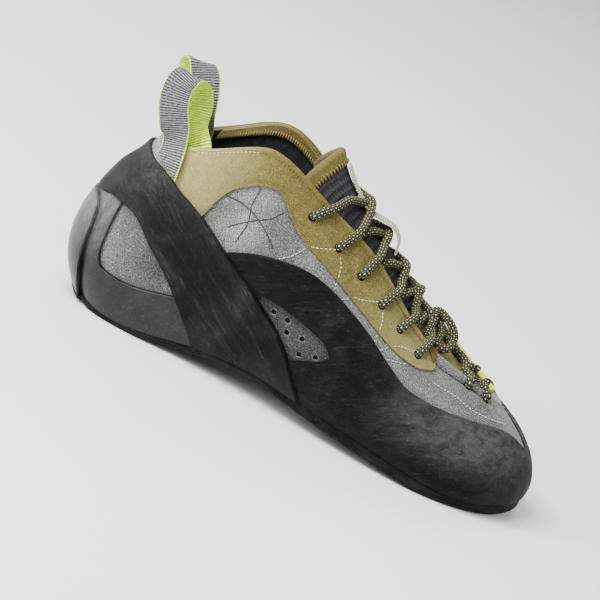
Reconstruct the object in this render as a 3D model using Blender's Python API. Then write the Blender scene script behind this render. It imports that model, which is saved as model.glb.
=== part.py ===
"""Lace-up climbing shoe, right foot: hollow upper, rubber rands and slingshot band, two-part outsole,
tongue, insole, pull loops and lace crossings. Metres, +X to the toe, +Y to the inner side, +Z up, floor at
z = 0.

The upper's outside is one surface skin(section, share): section counts round the shoe from the back of the
heel (0) along the outer side to the toe (9) and back along the inner side (17 is the heel again), and share
runs up the wall from the feather line (0) to the collar and throat edge (1). Each overlay is cut from it."""

import math
from collections import namedtuple

import bmesh
import bpy
import numpy as np

# Last and upper
LAST_LENGTH = 0.250
HEEL_WIDTH = 0.054
BALL_WIDTH = 0.083
COLLAR_HEIGHT = 0.1165
VAMP_HEIGHT = 0.064
ARCH_RISE = 0.010
HEEL_REST = 0.146  # share of the last's length where the heel stands, the part's origin
WALL = 0.0022
PANEL = 0.0010
EYELET = 0.0046
GAP = 0.00035  # between pieces that meet

# Rubber
HEEL_SOLE = 0.0032
FOREFOOT_SOLE = 0.0056
SOLE_ROUND = 0.0032
RAND = 0.0018
BAND = 0.0018
HEEL_PATCH = 0.0020

# Inside, tongue, webbing and lace
INSOLE = 0.0020
TONGUE = 0.0032
TONGUE_CROWN = 0.0190
TONGUE_ROOM = 0.0008  # under the wall, on top of the gap
KEEPER_WIDTH = 0.0080
KEEPER = 0.0012
LOOP_WIDTH = 0.0145
LOOP_HEIGHT = 0.0310
LOOP_DEPTH = 0.0150
WEBBING = 0.0016
LOOP_ROOM = 0.0012  # flat webbing inside the curved collar
TRIM_WIDTH = 0.0030
TRIM = 0.0020
LACE = 0.0042

# Columns: name, fore (0 heel sizes, 1 ball sizes), lift of the foot line in arch rises, then foot (along,
# side), belly, shoulder and top (along, side, rise), and the grid columns up to the next section. Along is a
# share of the last's length, side of the local width, rise of the local height.
Section = namedtuple("Section", "name fore lift foot belly shoulder top columns")
SECTIONS = [
    Section("heel_back", 0.0, 0.40, (0.050, 0.0), (0.002, 0.0, 0.30), (0.026, 0.0, 0.565),
            (0.074, 0.0, 0.835), 4),
    Section("outer_heel_corner", 0.0, 0.15, (0.074, -0.23), (0.038, -0.35, 0.29), (0.054, -0.335, 0.56),
            (0.094, -0.27, 0.815), 5),
    Section("outer_heel", 0.0, -0.08, (0.154, -0.37), (0.146, -0.50, 0.285), (0.152, -0.49, 0.585),
            (0.182, -0.435, 0.895), 4),
    Section("outer_collar", 0.2, 0.45, (0.282, -0.36), (0.280, -0.485, 0.365), (0.278, -0.51, 0.73),
            (0.278, -0.45, 1.10), 4),
    Section("outer_waist", 0.5, 0.88, (0.426, -0.38), (0.424, -0.505, 0.455), (0.418, -0.49, 0.82),
            (0.398, -0.30, 1.155), 5),
    Section("outer_instep", 0.8, 0.61, (0.570, -0.44), (0.568, -0.525, 0.45), (0.560, -0.455, 0.80),
            (0.542, -0.20, 1.18), 4),
    Section("outer_ball", 1.0, 0.31, (0.714, -0.465), (0.718, -0.52, 0.39), (0.700, -0.405, 0.72),
            (0.680, -0.15, 0.995), 5),
    Section("outer_toe_side", 1.0, -0.08, (0.858, -0.42), (0.858, -0.445, 0.31), (0.834, -0.315, 0.615),
            (0.788, -0.09, 0.845), 6),
    Section("outer_toe_corner", 1.0, 0.04, (0.958, -0.215), (0.962, -0.23, 0.31), (0.926, -0.135, 0.57),
            (0.856, -0.01, 0.74), 5),
    Section("toe_tip", 1.0, 0.20, (0.998, 0.05), (1.000, 0.055, 0.29), (0.962, 0.055, 0.51),
            (0.874, 0.06, 0.71), 5),
    Section("inner_toe_corner", 1.0, 0.05, (0.954, 0.325), (0.954, 0.335, 0.31), (0.912, 0.255, 0.57),
            (0.856, 0.125, 0.74), 6),
    Section("inner_ball", 1.0, -0.08, (0.834, 0.445), (0.832, 0.475, 0.33), (0.810, 0.365, 0.665),
            (0.780, 0.175, 0.86), 5),
    Section("inner_instep", 0.9, 0.43, (0.650, 0.41), (0.646, 0.475, 0.435), (0.634, 0.395, 0.765),
            (0.610, 0.205, 1.12), 5),
    Section("inner_waist", 0.5, 1.00, (0.450, 0.305), (0.446, 0.455, 0.475), (0.434, 0.445, 0.83),
            (0.416, 0.315, 1.135), 5),
    Section("inner_collar", 0.2, 0.60, (0.282, 0.325), (0.280, 0.47, 0.365), (0.278, 0.50, 0.73),
            (0.278, 0.45, 1.10), 5),
    Section("inner_heel", 0.0, -0.08, (0.154, 0.36), (0.146, 0.49, 0.285), (0.152, 0.48, 0.585),
            (0.182, 0.435, 0.90), 6),
    Section("inner_heel_corner", 0.0, 0.15, (0.074, 0.23), (0.038, 0.35, 0.29), (0.054, 0.335, 0.56),
            (0.094, 0.27, 0.815), 4),
]
UPPER_ROWS = np.linspace(0, 1, 11)
ROUND = len(SECTIONS)
TOE = 9
# The inner side's section number opposite each of the outer side's, heel back to toe tip
OPPOSITE = [17.0, 16.0, 15.0, 14.0, 13.1, 12.4, 11.65, 10.8, 10.0, 9.0]

# Edges on the surface: outer section number, share of the wall. The inner side repeats them.
BAND_TOP = [(0.0, 0.930), (0.5, 0.925), (1.3, 0.875), (2.05, 0.745), (3.0, 0.540), (3.6, 0.420),
            (4.25, 0.272), (4.72, 0.050)]
BAND_BOTTOM = [(0.0, 0.55), (0.45, 0.555), (1.0, 0.597), (1.35, 0.59), (2.05, 0.452), (2.6, 0.28),
               (3.0, 0.11), (3.2, 0.0), (4.8, 0.0)]
HEEL_RAND_TOP = [(0.0, 0.62), (1.14, 0.64), (1.24, 0.46), (1.28, 0.29), (1.45, 0.25), (2.6, 0.27),
                 (2.65, 0.32), (3.0, 0.16), (3.4, 0.04)]
RAND_BOTTOM = [(2.75, 0.44), (3.0, 0.30), (3.6, 0.12), (4.1, 0.0), (9.0, 0.0)]
OUTER_RAND_TOP = [(2.75, 0.50), (3.15, 0.555), (3.7, 0.617), (4.3, 0.685), (4.8, 0.703), (5.2, 0.70),
                  (5.7, 0.655), (6.0, 0.62), (6.3, 0.63), (7.0, 0.675), (8.0, 0.697), (8.4, 0.66),
                  (8.7, 0.62), (9.0, 0.64)]
INNER_RAND_TOP = [(2.75, 0.50), (3.15, 0.555), (3.7, 0.60), (4.3, 0.64), (5.5, 0.62), (7.0, 0.66),
                  (8.0, 0.73), (8.6, 0.74), (9.0, 0.64)]
WINDOW_TOP = [(3.55, 0.41), (3.72, 0.438), (4.2, 0.45), (4.7, 0.458), (4.86, 0.43)]
WINDOW_BOTTOM = [(3.55, 0.37), (3.96, 0.29), (4.3, 0.20), (4.42, 0.237), (4.65, 0.311), (4.8, 0.373),
                 (4.86, 0.405)]
PATCH_TOP = [(0.0, 0.525), (0.38, 0.53), (0.72, 0.505), (0.9, 0.445), (0.99, 0.30)]
PATCH_BOTTOM = [(0.0, 0.0), (0.9, 0.0), (0.99, 0.08)]
PANEL_BOTTOM = [(1.2, 0.90), (2.05, 0.78), (2.3, 0.70), (2.45, 0.675), (2.52, 0.737), (2.64, 0.79),
                (3.0, 0.837), (3.35, 0.859), (3.6, 0.804), (3.8, 0.765), (5.6, 0.752), (6.05, 0.778),
                (6.25, 0.805), (6.38, 0.86)]
PANEL_TOP = [(1.2, 0.985), (6.1, 0.985), (6.25, 0.955), (6.38, 0.90)]
TRIM_TOP = 0.985
TRIM_RUN = (11.25, 9.9)

# Outer section numbers of the lines across the sole and insole, and of the seams each side of the waist
SOLE_LINES = [0.0, 0.12, 0.3, 0.5, 0.75, 1.0, 1.25, 1.6, 2.0, 2.4, 2.8, 3.17, 3.5, 3.8, 4.1, 4.42, 4.7, 5.0,
              5.5, 6.0, 6.4, 6.8, 7.2, 7.5, 7.75, 8.0, 8.2, 8.4, 8.6, 8.8, 8.9, 9.0]
HEEL_SEAM = 3.17
FOREFOOT_SEAM = 4.42

# Punched eyelets, from the collar to the toe: outer section number, share of the wall on the outer and the
# inner side, and how far past the eyelet, in steps from the one before, the laces into it cross on the ridge
EYELETS = [(3.91, 0.881, 0.881, 0.0), (4.40, 0.873, 0.873, 0.10), (4.84, 0.870, 0.870, 0.10),
           (5.28, 0.870, 0.870, 0.18), (5.67, 0.877, 0.877, 0.10), (6.05, 0.855, 0.855, 0.10),
           (7.13, 0.925, 0.895, -0.35), (7.66, 0.915, 0.880, -0.15)]

# Lines across the tongue, from its top to its toe end: outer section number, share of the wall that the
# line passes under at the throat's edge, share at the tongue's own side edge, crown in tongue crowns
TONGUE_LINES = [(3.72, 1.0, 0.87, 1.0), (3.95, 1.0, 0.84, 0.80), (4.35, 1.0, 0.83, 0.57),
                (4.8, 1.0, 0.83, 0.46), (5.3, 1.0, 0.84, 0.36), (5.9, 1.0, 0.84, 0.27), (6.6, 1.0, 0.86, 0.20),
                (7.3, 1.0, 0.88, 0.10), (8.0, 1.0, 0.89, 0.03), (8.6, 0.93, 0.85, 0.0)]


def blend(low, high, share):
    return low + (high - low) * share


def form_points():
    """The sections' four levels in metres, from the shares and the driving sizes."""
    points = np.zeros((ROUND, 4, 3))
    for i, section in enumerate(SECTIONS):
        width = blend(HEEL_WIDTH, BALL_WIDTH, section.fore)
        height = blend(COLLAR_HEIGHT, VAMP_HEIGHT, section.fore)
        sole = blend(HEEL_SOLE, FOREFOOT_SOLE, section.fore)
        foot_rise = section.lift * ARCH_RISE + sole + GAP
        levels = [(*section.foot, foot_rise / height), section.belly, section.shoulder, section.top]
        for j, (along, side, rise) in enumerate(levels):
            points[i, j] = ((along - HEEL_REST) * LAST_LENGTH, side * width, rise * height)
    return points


POINTS = form_points()


def section_places():
    """Place of each section round the shoe, 0 to 1, by its mean distance from the last at foot and top."""
    following = np.roll(POINTS, -1, axis=0)
    steps = np.linalg.norm(following[:, [0, 3]] - POINTS[:, [0, 3]], axis=2).mean(axis=1)
    return np.concatenate([[0.0], np.cumsum(steps)]) / steps.sum()


PLACES = section_places()


def round_slopes(values):
    """Slopes of the closed cubic spline through the sections, smooth in its second derivative."""
    gaps = np.diff(PLACES)
    matrix = np.zeros((ROUND, ROUND))
    right = np.zeros_like(values)
    for i in range(ROUND):
        before, after = gaps[i - 1], gaps[i]
        following = (i + 1) % ROUND
        matrix[i, i - 1] += after
        matrix[i, i] += 2 * (before + after)
        matrix[i, following] += before
        right[i] = 3 * (after * (values[i] - values[i - 1]) / before
                        + before * (values[following] - values[i]) / after)
    return np.linalg.solve(matrix, right.reshape(ROUND, -1)).reshape(values.shape)


SLOPES = round_slopes(POINTS)


def surface(place, share):
    """Outside of the upper: the closed spline round the shoe, then a cubic up through its four levels."""
    place, share = np.broadcast_arrays(np.mod(np.asarray(place, float), 1.0), np.asarray(share, float))
    i = np.clip(np.searchsorted(PLACES, place, side="right") - 1, 0, ROUND - 1)
    following = (i + 1) % ROUND
    gap = (PLACES[i + 1] - PLACES[i])[..., None, None]
    t = ((place - PLACES[i]) / (PLACES[i + 1] - PLACES[i]))[..., None, None]
    levels = ((1 + 2 * t) * (1 - t) ** 2 * POINTS[i] + t * (1 - t) ** 2 * gap * SLOPES[i]
              + t * t * (3 - 2 * t) * POINTS[following] + t * t * (t - 1) * gap * SLOPES[following])
    a, b, c = share, share - 1 / 3, share - 2 / 3
    d = share - 1
    weights = np.stack([-4.5 * b * c * d, 13.5 * a * c * d, -13.5 * a * b * d, 4.5 * a * b * c], axis=-1)
    return np.einsum("...lc,...l->...c", levels, weights)


def place_of(section):
    return np.interp(np.mod(section, ROUND), np.arange(ROUND + 1), PLACES)


def facing(section, share):
    """Unit normal of the surface, pointing out of the shoe."""
    place, step = place_of(section), 1e-4
    round_way = surface(place + step, share) - surface(place - step, share)
    up_way = surface(place, share + step) - surface(place, share - step)
    normal = np.cross(round_way, up_way)
    return normal / np.linalg.norm(normal, axis=-1, keepdims=True)


def skin(section, share, lift=0.0):
    """Point at a section number and a share of the wall, lifted off the upper's outside."""
    section, share = np.broadcast_arrays(np.asarray(section, float), np.asarray(share, float))
    return surface(place_of(section), share) + np.asarray(lift)[..., None] * facing(section, share)


def opposite(section):
    """Inner side's section number opposite an outer one."""
    return np.interp(section, np.arange(TOE + 1), OPPOSITE)


def outer_number(section):
    """Outer section number opposite any place round the shoe."""
    section = np.mod(section, ROUND)
    mirrored = np.interp(section, OPPOSITE[::-1], np.arange(TOE, -1, -1))
    return np.where(section <= TOE, section, mirrored)


def edge(points, section):
    """Share of the wall along an edge list, at any place round the shoe."""
    numbers, shares = zip(*points)
    return np.interp(outer_number(section), numbers, shares)


def columns_between(first, last, extra=()):
    """Grid columns of the upper between two places round the shoe, with both ends and any corners."""
    fixed = sorted({first, last, *extra})
    columns = []
    for i in range(math.floor(first), math.ceil(last)):
        count = SECTIONS[i % ROUND].columns
        columns += [i + j / count for j in range(count)]
    kept = [c for c in columns if first < c < last and min(abs(c - f) for f in fixed) > 0.09]
    return np.array(sorted(kept + fixed))


def new_collection(name):
    collection = bpy.data.collections.new(name)
    bpy.context.scene.collection.children.link(collection)
    return collection


def material(name, colour, roughness):
    made = bpy.data.materials.new(name)
    made.use_nodes = True
    shader = made.node_tree.nodes["Principled BSDF"]
    shader.inputs["Base Color"].default_value = (*colour, 1.0)
    shader.inputs["Roughness"].default_value = roughness
    shader.inputs["Metallic"].default_value = 0.0
    made.diffuse_color = (*colour, 1.0)
    return made


def add_mesh(name, points, faces, finish, collection):
    mesh = bpy.data.meshes.new(name)
    mesh.from_pydata([tuple(p) for p in points], [], faces)
    shape = bmesh.new()
    shape.from_mesh(mesh)
    bmesh.ops.remove_doubles(shape, verts=shape.verts, dist=1e-6)
    bmesh.ops.recalc_face_normals(shape, faces=shape.faces)
    shape.to_mesh(mesh)
    shape.free()
    obj = bpy.data.objects.new(name, mesh)
    collection.objects.link(obj)
    if finish:
        mesh.materials.append(finish)
        mesh.shade_smooth()
        mesh.set_sharp_from_angle(angle=math.radians(35))
    return obj


def loft(rings, closed):
    """Points and faces of a solid swept through equal rings of points: rings is (count, ring, 3)."""
    count, around = rings.shape[:2]
    faces = []
    for i in range(count if closed else count - 1):
        a, b = i * around, (i + 1) % count * around
        faces += [(a + j, b + j, b + (j + 1) % around, a + (j + 1) % around) for j in range(around)]
    if not closed:
        half = around // 2
        for start in (0, (count - 1) * around):
            faces += [(start + j, start + j + 1, start + around - 2 - j, start + around - 1 - j)
                      for j in range(half - 1)]
    return rings.reshape(-1, 3), faces


def wall(inside, outside):
    """Rings of a wall between two grids: up the inside, then down the outside."""
    return np.concatenate([inside, outside[:, ::-1]], axis=1)


def level_foot(columns, lift):
    """Points of the lifted surface at the height of the foot line: outside, by Newton's steps up the wall;
    inside, straight down from the foot of the wall."""
    foot = skin(columns, 0.0)[:, 2]
    share = np.zeros(len(columns))
    lifts = np.full(len(columns), lift)
    for _ in range(5 if lift > 0 else 0):
        slope = (skin(columns, share + 0.01, lifts)[:, 2] - skin(columns, share, lifts)[:, 2]) / 0.01
        share += (foot - skin(columns, share, lifts)[:, 2]) / slope
    points = skin(columns, share, lifts)
    points[:, 2] = foot
    return points


def strip(columns, low, high, inner, outer, rows=None):
    """Rings of an overlay: a patch of the upper's surface between two edges, with its foot cut level. The
    rows are the upper's own, stopped at the edges, or a number of them spread evenly between the edges."""
    if rows:
        share = low[:, None] + (high - low)[:, None] * np.linspace(0, 1, rows + 1)
    else:
        share = np.clip(UPPER_ROWS, low[:, None], high[:, None])
    section = np.broadcast_to(columns[:, None], share.shape)
    grids = [skin(section, share, np.full(share.shape, lift)) for lift in (inner, outer)]
    for grid, lift in zip(grids, (inner, outer)):
        grid[:, 0] = np.where(low[:, None] < 1e-6, level_foot(columns, lift), grid[:, 0])
    return wall(*grids)


def smooth_path(points, count):
    """Evenly counted points on the natural curve through a few given ones (centripetal Catmull-Rom)."""
    points = np.asarray(points, float)
    ends = np.concatenate([[2 * points[0] - points[1]], points, [2 * points[-1] - points[-2]]])
    steps = np.sqrt(np.linalg.norm(np.diff(ends, axis=0), axis=1))
    knots = np.concatenate([[0.0], np.cumsum(steps)])
    made = []
    for at in np.linspace(knots[1], knots[-2], count):
        i = min(max(int(np.searchsorted(knots, at, side="right")) - 1, 1), len(points) - 1)
        k, p = knots[i - 1:i + 3], ends[i - 1:i + 3]
        first = [((k[j + 1] - at) * p[j] + (at - k[j]) * p[j + 1]) / (k[j + 1] - k[j]) for j in range(3)]
        second = [((k[j + 2] - at) * first[j] + (at - k[j]) * first[j + 1]) / (k[j + 2] - k[j])
                  for j in range(2)]
        made.append(((k[2] - at) * second[0] + (at - k[1]) * second[1]) / (k[2] - k[1]))
    return np.array(made)


def ribbon(path, face, width, thickness, late=(0.0, 0.0)):
    """Rings of a flat webbing that follows a path, its outer face looking along face. Late is the share of
    the path that each of its edges misses at the start, for a slanted end."""
    tangent = np.gradient(path, axis=0)
    across = np.cross(tangent, face)
    across /= np.linalg.norm(across, axis=1, keepdims=True)
    out = np.cross(across, tangent)
    out /= np.linalg.norm(out, axis=1, keepdims=True)
    run = np.linspace(0, 1, len(path))
    corners = []
    for a, b in [(-0.5, -0.5), (0.5, -0.5), (0.5, 0.5), (-0.5, 0.5)]:
        line = path + a * width * across + b * thickness * out
        missed = late[0] if a < 0 else late[1]
        kept = missed + (1 - missed) * run
        corners.append(np.stack([np.interp(kept, run, line[:, k]) for k in range(3)], axis=1))
    return np.stack(corners, axis=1)


def tongue_line(number):
    """Five points across the tongue at an outer section number, from its outer to its inner side edge."""
    numbers, at_rim, at_edge, crown = (np.interp(number, [line[0] for line in TONGUE_LINES],
                                                 [line[k] for line in TONGUE_LINES]) for k in range(4))
    inner = opposite(number)
    under = -(WALL + GAP + TONGUE_ROOM)
    outer_rim, inner_rim = skin(number, at_rim, under), skin(inner, at_rim, under)
    throat = skin(8.0, 1.0) - skin(4.0, 1.0)
    rise = np.array([-throat[2], 0.0, throat[0]]) / math.hypot(throat[0], throat[2])
    ridge = (outer_rim + inner_rim) / 2 + crown * TONGUE_CROWN * rise
    edges = skin(number, at_edge, under), skin(inner, at_edge, under)
    return np.array([edges[0], outer_rim, ridge, inner_rim, edges[1]])


def tongue_top(number, across, lift=0.0):
    """Point on the tongue's outside: across is -1 at its outer side edge, 0 on the ridge and 1 opposite."""
    def place(n, w):
        line = tongue_line(n)
        knots = np.array([-1.0, -0.62, 0.0, 0.62, 1.0])
        slopes = np.gradient(line, knots, axis=0)
        k = min(int(np.searchsorted(knots, w, side="right")) - 1, 3)
        gap = knots[k + 1] - knots[k]
        t = (w - knots[k]) / gap
        return ((1 + 2 * t) * (1 - t) ** 2 * line[k] + t * (1 - t) ** 2 * gap * slopes[k]
                + t * t * (3 - 2 * t) * line[k + 1] + t * t * (t - 1) * gap * slopes[k + 1])

    step = 0.02
    along_way = place(number + step, across) - place(number - step, across)
    across_way = place(number, across + step) - place(number, across - step)
    normal = np.cross(along_way, across_way)
    return place(number, across) + lift * normal / np.linalg.norm(normal)


def cut(obj, cutter):
    modifier = obj.modifiers.new("cut_" + cutter.name, "BOOLEAN")
    modifier.operation = "DIFFERENCE"
    modifier.solver = "EXACT"
    modifier.object = cutter


def as_cutter(obj):
    obj.hide_render = True
    obj.display_type = "WIRE"
    return obj


def eyelet_cutter(cutters):
    """All punched holes as one cutter: short round bars along the surface's normal."""
    shape = bmesh.new()
    for number, outer_share, inner_share, _ in EYELETS:
        for section, share in ((number, outer_share), (float(opposite(number)), inner_share)):
            axis = facing(section, share)
            side = np.cross(axis, (1.0, 0.0, 0.0))
            side /= np.linalg.norm(side)
            ends = []
            for depth in (-3 * WALL, 3 * WALL):
                centre = skin(section, share, depth)
                ends.append([shape.verts.new(centre + EYELET / 2 * (math.cos(a) * side + math.sin(a)
                                             * np.cross(axis, side)))
                             for a in np.linspace(0, 2 * math.pi, 9)[:-1]])
            for i in range(8):
                shape.faces.new((ends[0][i], ends[0][i - 1], ends[1][i - 1], ends[1][i]))
            shape.faces.new(ends[0])
            shape.faces.new(ends[1][::-1])
    bmesh.ops.recalc_face_normals(shape, faces=shape.faces)
    mesh = bpy.data.meshes.new("eyelet_holes")
    shape.to_mesh(mesh)
    shape.free()
    obj = bpy.data.objects.new("eyelet_holes", mesh)
    cutters.objects.link(obj)
    return as_cutter(obj)


def make_upper(shoe, holes, finish):
    columns = columns_between(0, ROUND)[:-1]
    share = np.broadcast_to(UPPER_ROWS, (len(columns), len(UPPER_ROWS)))
    section = np.broadcast_to(columns[:, None], share.shape)
    inside = skin(section, share, np.full(share.shape, -WALL))
    outside = skin(section, share)
    inside[:, 0] = level_foot(columns, -WALL)
    upper = add_mesh("upper", *loft(wall(inside, outside), closed=True), finish, shoe)
    cut(upper, holes)


def make_panels(shoe, holes, finish):
    """Suede collar and eyestay panel of each side, with the same holes."""
    start, end = PANEL_TOP[0][0], PANEL_TOP[-1][0]
    corners = [number for number, _ in PANEL_BOTTOM[1:-1]]
    for name, ends in (("outer", (start, end)), ("inner", (float(opposite(end)), float(opposite(start))))):
        extra = corners if name == "outer" else [float(opposite(number)) for number in corners]
        columns = columns_between(*ends, extra)
        low, high = edge(PANEL_BOTTOM, columns), edge(PANEL_TOP, columns)
        rings = strip(columns, low, high, GAP, GAP + PANEL, rows=3)
        panel = add_mesh(f"collar_panel_{name}", *loft(rings, closed=False), finish, shoe)
        cut(panel, holes)


def make_rand(shoe, cutters, finish):
    """Rubber round the forefoot, from under the band on one side to under it on the other."""
    start, foot_start = RAND_BOTTOM[0][0], RAND_BOTTOM[3][0]
    columns = columns_between(start, float(opposite(start)), (foot_start, float(opposite(foot_start))))
    top = np.where(columns <= TOE, edge(OUTER_RAND_TOP, columns), edge(INNER_RAND_TOP, columns))
    rings = strip(columns, edge(RAND_BOTTOM, columns), top, GAP, GAP + RAND)
    rand = add_mesh("rand", *loft(rings, closed=False), finish, shoe)
    first, last = WINDOW_TOP[0][0], WINDOW_TOP[-1][0]
    corners = [number for number, _ in WINDOW_TOP + WINDOW_BOTTOM if first < number < last]
    for name in ("outer", "inner"):
        numbers = [first, last, *corners]
        columns = np.array(sorted(numbers if name == "outer" else {float(opposite(n)) for n in numbers}))
        low, high = edge(WINDOW_BOTTOM, columns), edge(WINDOW_TOP, columns)
        rings = strip(columns, low, high, -RAND, GAP + 3 * RAND, rows=2)
        cut(rand, as_cutter(add_mesh(f"rand_window_{name}", *loft(rings, closed=False), None, cutters)))


def make_heel_rand(shoe, finish):
    """Rubber round the heel: a low wall with a taller column each side of the back."""
    end = HEEL_RAND_TOP[-1][0]
    corners = [number for number, _ in HEEL_RAND_TOP[1:-1]]
    extra = [ROUND + number for number in corners] + [float(opposite(number)) for number in corners]
    columns = columns_between(float(opposite(end)), ROUND + end, extra)
    rings = strip(columns, np.zeros(len(columns)), edge(HEEL_RAND_TOP, columns), GAP, GAP + RAND)
    add_mesh("heel_rand", *loft(rings, closed=False), finish, shoe)


def make_band(shoe, finish):
    """Slingshot band over the other rubber: from under one side of the waist, round the heel, to the other."""
    end = BAND_TOP[-1][0]
    corner = BAND_BOTTOM[-2][0]
    extra = (ROUND + corner, float(opposite(corner)))
    columns = columns_between(float(opposite(end)), ROUND + end, extra)
    under = 2 * GAP + RAND
    rings = strip(columns, edge(BAND_BOTTOM, columns), edge(BAND_TOP, columns), under, under + BAND)
    add_mesh("slingshot_band", *loft(rings, closed=False), finish, shoe)


def sole_rings(numbers, thinner=0.0):
    """Rings of a sole between outer section numbers: its top under the upper, its underside rounded in."""
    rings = []
    for number in numbers:
        ends = []
        for section in (number, float(opposite(number))):
            fore = np.interp(section, np.arange(ROUND + 1), [s.fore for s in SECTIONS] + [SECTIONS[0].fore])
            foot = skin(section, 0.0)
            out = facing(section, 0.0) * (1, 1, 0)
            out /= np.linalg.norm(out)
            over_rubber = np.interp(number, [0.0, 0.9, 1.3], [GAP + HEEL_PATCH, GAP + HEEL_PATCH, 0.0])
            edge_point = level_foot(np.array([section]), GAP + RAND + over_rubber)[0]
            reach = np.linalg.norm((edge_point - foot)[:2])
            thick = blend(HEEL_SOLE, FOREFOOT_SOLE, fore)
            top = foot[2] - 2 * GAP - thinner / 2
            bottom = max(0.0, top - thick) + thinner
            middle = blend(bottom, top, 0.45)
            levels = [(reach, top), (reach - 0.1 * SOLE_ROUND, middle), (reach - SOLE_ROUND, bottom)]
            ends.append([(foot + out * r) * (1, 1, 0) + (0, 0, z) for r, z in levels])
        rings.append(ends[0][::-1] + ends[1])
    return np.array(rings)


def make_soles(shoe, finish):
    """Forefoot outsole, the rubber under the waist between the band's ends, and the heel outsole with its
    patch up the back, joined."""
    lines = np.array(SOLE_LINES)
    seam = 3 * GAP / np.linalg.norm(skin(4.0, 0.0) - skin(3.0, 0.0))
    forefoot = lines[lines >= FOREFOOT_SEAM]
    add_mesh("forefoot_outsole", *loft(sole_rings(forefoot), closed=False), finish, shoe)
    waist = lines[(lines >= HEEL_SEAM) & (lines <= FOREFOOT_SEAM)]
    waist[0] += seam
    waist[-1] -= seam
    add_mesh("waist_rubber", *loft(sole_rings(waist, HEEL_SOLE / 3), closed=False), finish, shoe)

    heel = lines[lines <= HEEL_SEAM]
    sole = add_mesh("heel_outsole", *loft(sole_rings(heel), closed=False), finish, shoe)
    end = PATCH_TOP[-1][0]
    corners = [ROUND + way * number for number, _ in PATCH_TOP[1:-1] for way in (-1, 1)]
    columns = columns_between(ROUND - end, ROUND + end, corners)
    numbers = np.abs(columns - ROUND)
    low, high = (np.interp(numbers, *zip(*points)) for points in (PATCH_BOTTOM, PATCH_TOP))
    under = 2 * GAP + RAND
    rings = strip(columns, low, high, under, under + HEEL_PATCH)
    sunk = low < 1e-6
    rings[sunk, 0, 2] -= 2 * GAP + HEEL_SOLE / 2
    rings[sunk, -1, 2] -= 2 * GAP + HEEL_SOLE / 2
    patch = add_mesh("heel_patch_joined", *loft(rings, closed=False), None, bpy.data.collections["cutters"])
    modifier = sole.modifiers.new("heel_patch", "BOOLEAN")
    modifier.operation = "UNION"
    modifier.solver = "EXACT"
    modifier.object = as_cutter(patch)


def make_insole(shoe, finish):
    """Flat footbed inside the upper's foot line."""
    rings = []
    for number in SOLE_LINES[1:-2]:
        ends = []
        for section in (number, float(opposite(number))):
            edge_point = level_foot(np.array([section]), -(WALL + 2 * GAP))[0] + (0, 0, GAP)
            ends.append([edge_point, edge_point + (0, 0, INSOLE)])
        rings.append(ends[0] + ends[1][::-1])
    add_mesh("insole", *loft(np.array(rings), closed=False), finish, shoe)


def make_tongue(shoe, finish):
    numbers = np.array([3.72, 3.85, 4.0, 4.2, 4.5, 4.8, 5.1, 5.5, 6.0, 6.5, 7.0, 7.5, 8.0, 8.3, 8.6])
    across = np.linspace(-1, 1, 11)
    outside = np.array([[tongue_top(n, w) for w in across] for n in numbers])
    inside = np.array([[tongue_top(n, w, -TONGUE) for w in across] for n in numbers])
    add_mesh("tongue", *loft(wall(inside, outside), closed=False), finish, shoe)


def make_keeper(shoe, finish):
    """Webbing on the tongue's ridge that bows up over the second lace crossing."""
    lie = 2 * GAP + KEEPER / 2
    bow = lie + 1.25 * LACE + 2 * GAP
    given = [(3.9, lie), (4.15, lie), (4.40, lie), (4.57, blend(lie, bow, 0.1)), (4.69, blend(lie, bow, 0.6)),
             (4.86, 1.1 * bow), (4.98, bow), (5.07, blend(lie, bow, 0.4)), (5.10, lie)]
    path = smooth_path([tongue_top(number, 0.0, lift) for number, lift in given], 20)
    face = np.array([tongue_top(4.6, 0.0, 1.0) - tongue_top(4.6, 0.0)] * len(path))
    add_mesh("tongue_keeper", *loft(ribbon(path, face, KEEPER_WIDTH, KEEPER), closed=False), finish, shoe)


def make_trim(shoe, finish):
    """Bright strip along the inner edge of the lower throat."""
    last, first = TRIM_RUN
    columns = columns_between(first, last)
    height = np.linalg.norm(skin(columns, 1.0) - skin(columns, 0.9), axis=1) / 0.1
    high = np.full(len(columns), TRIM_TOP)
    rings = strip(columns, high - TRIM_WIDTH / height, high, GAP, GAP + TRIM, rows=2)
    add_mesh("throat_trim", *loft(rings, closed=False), finish, shoe)


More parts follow.
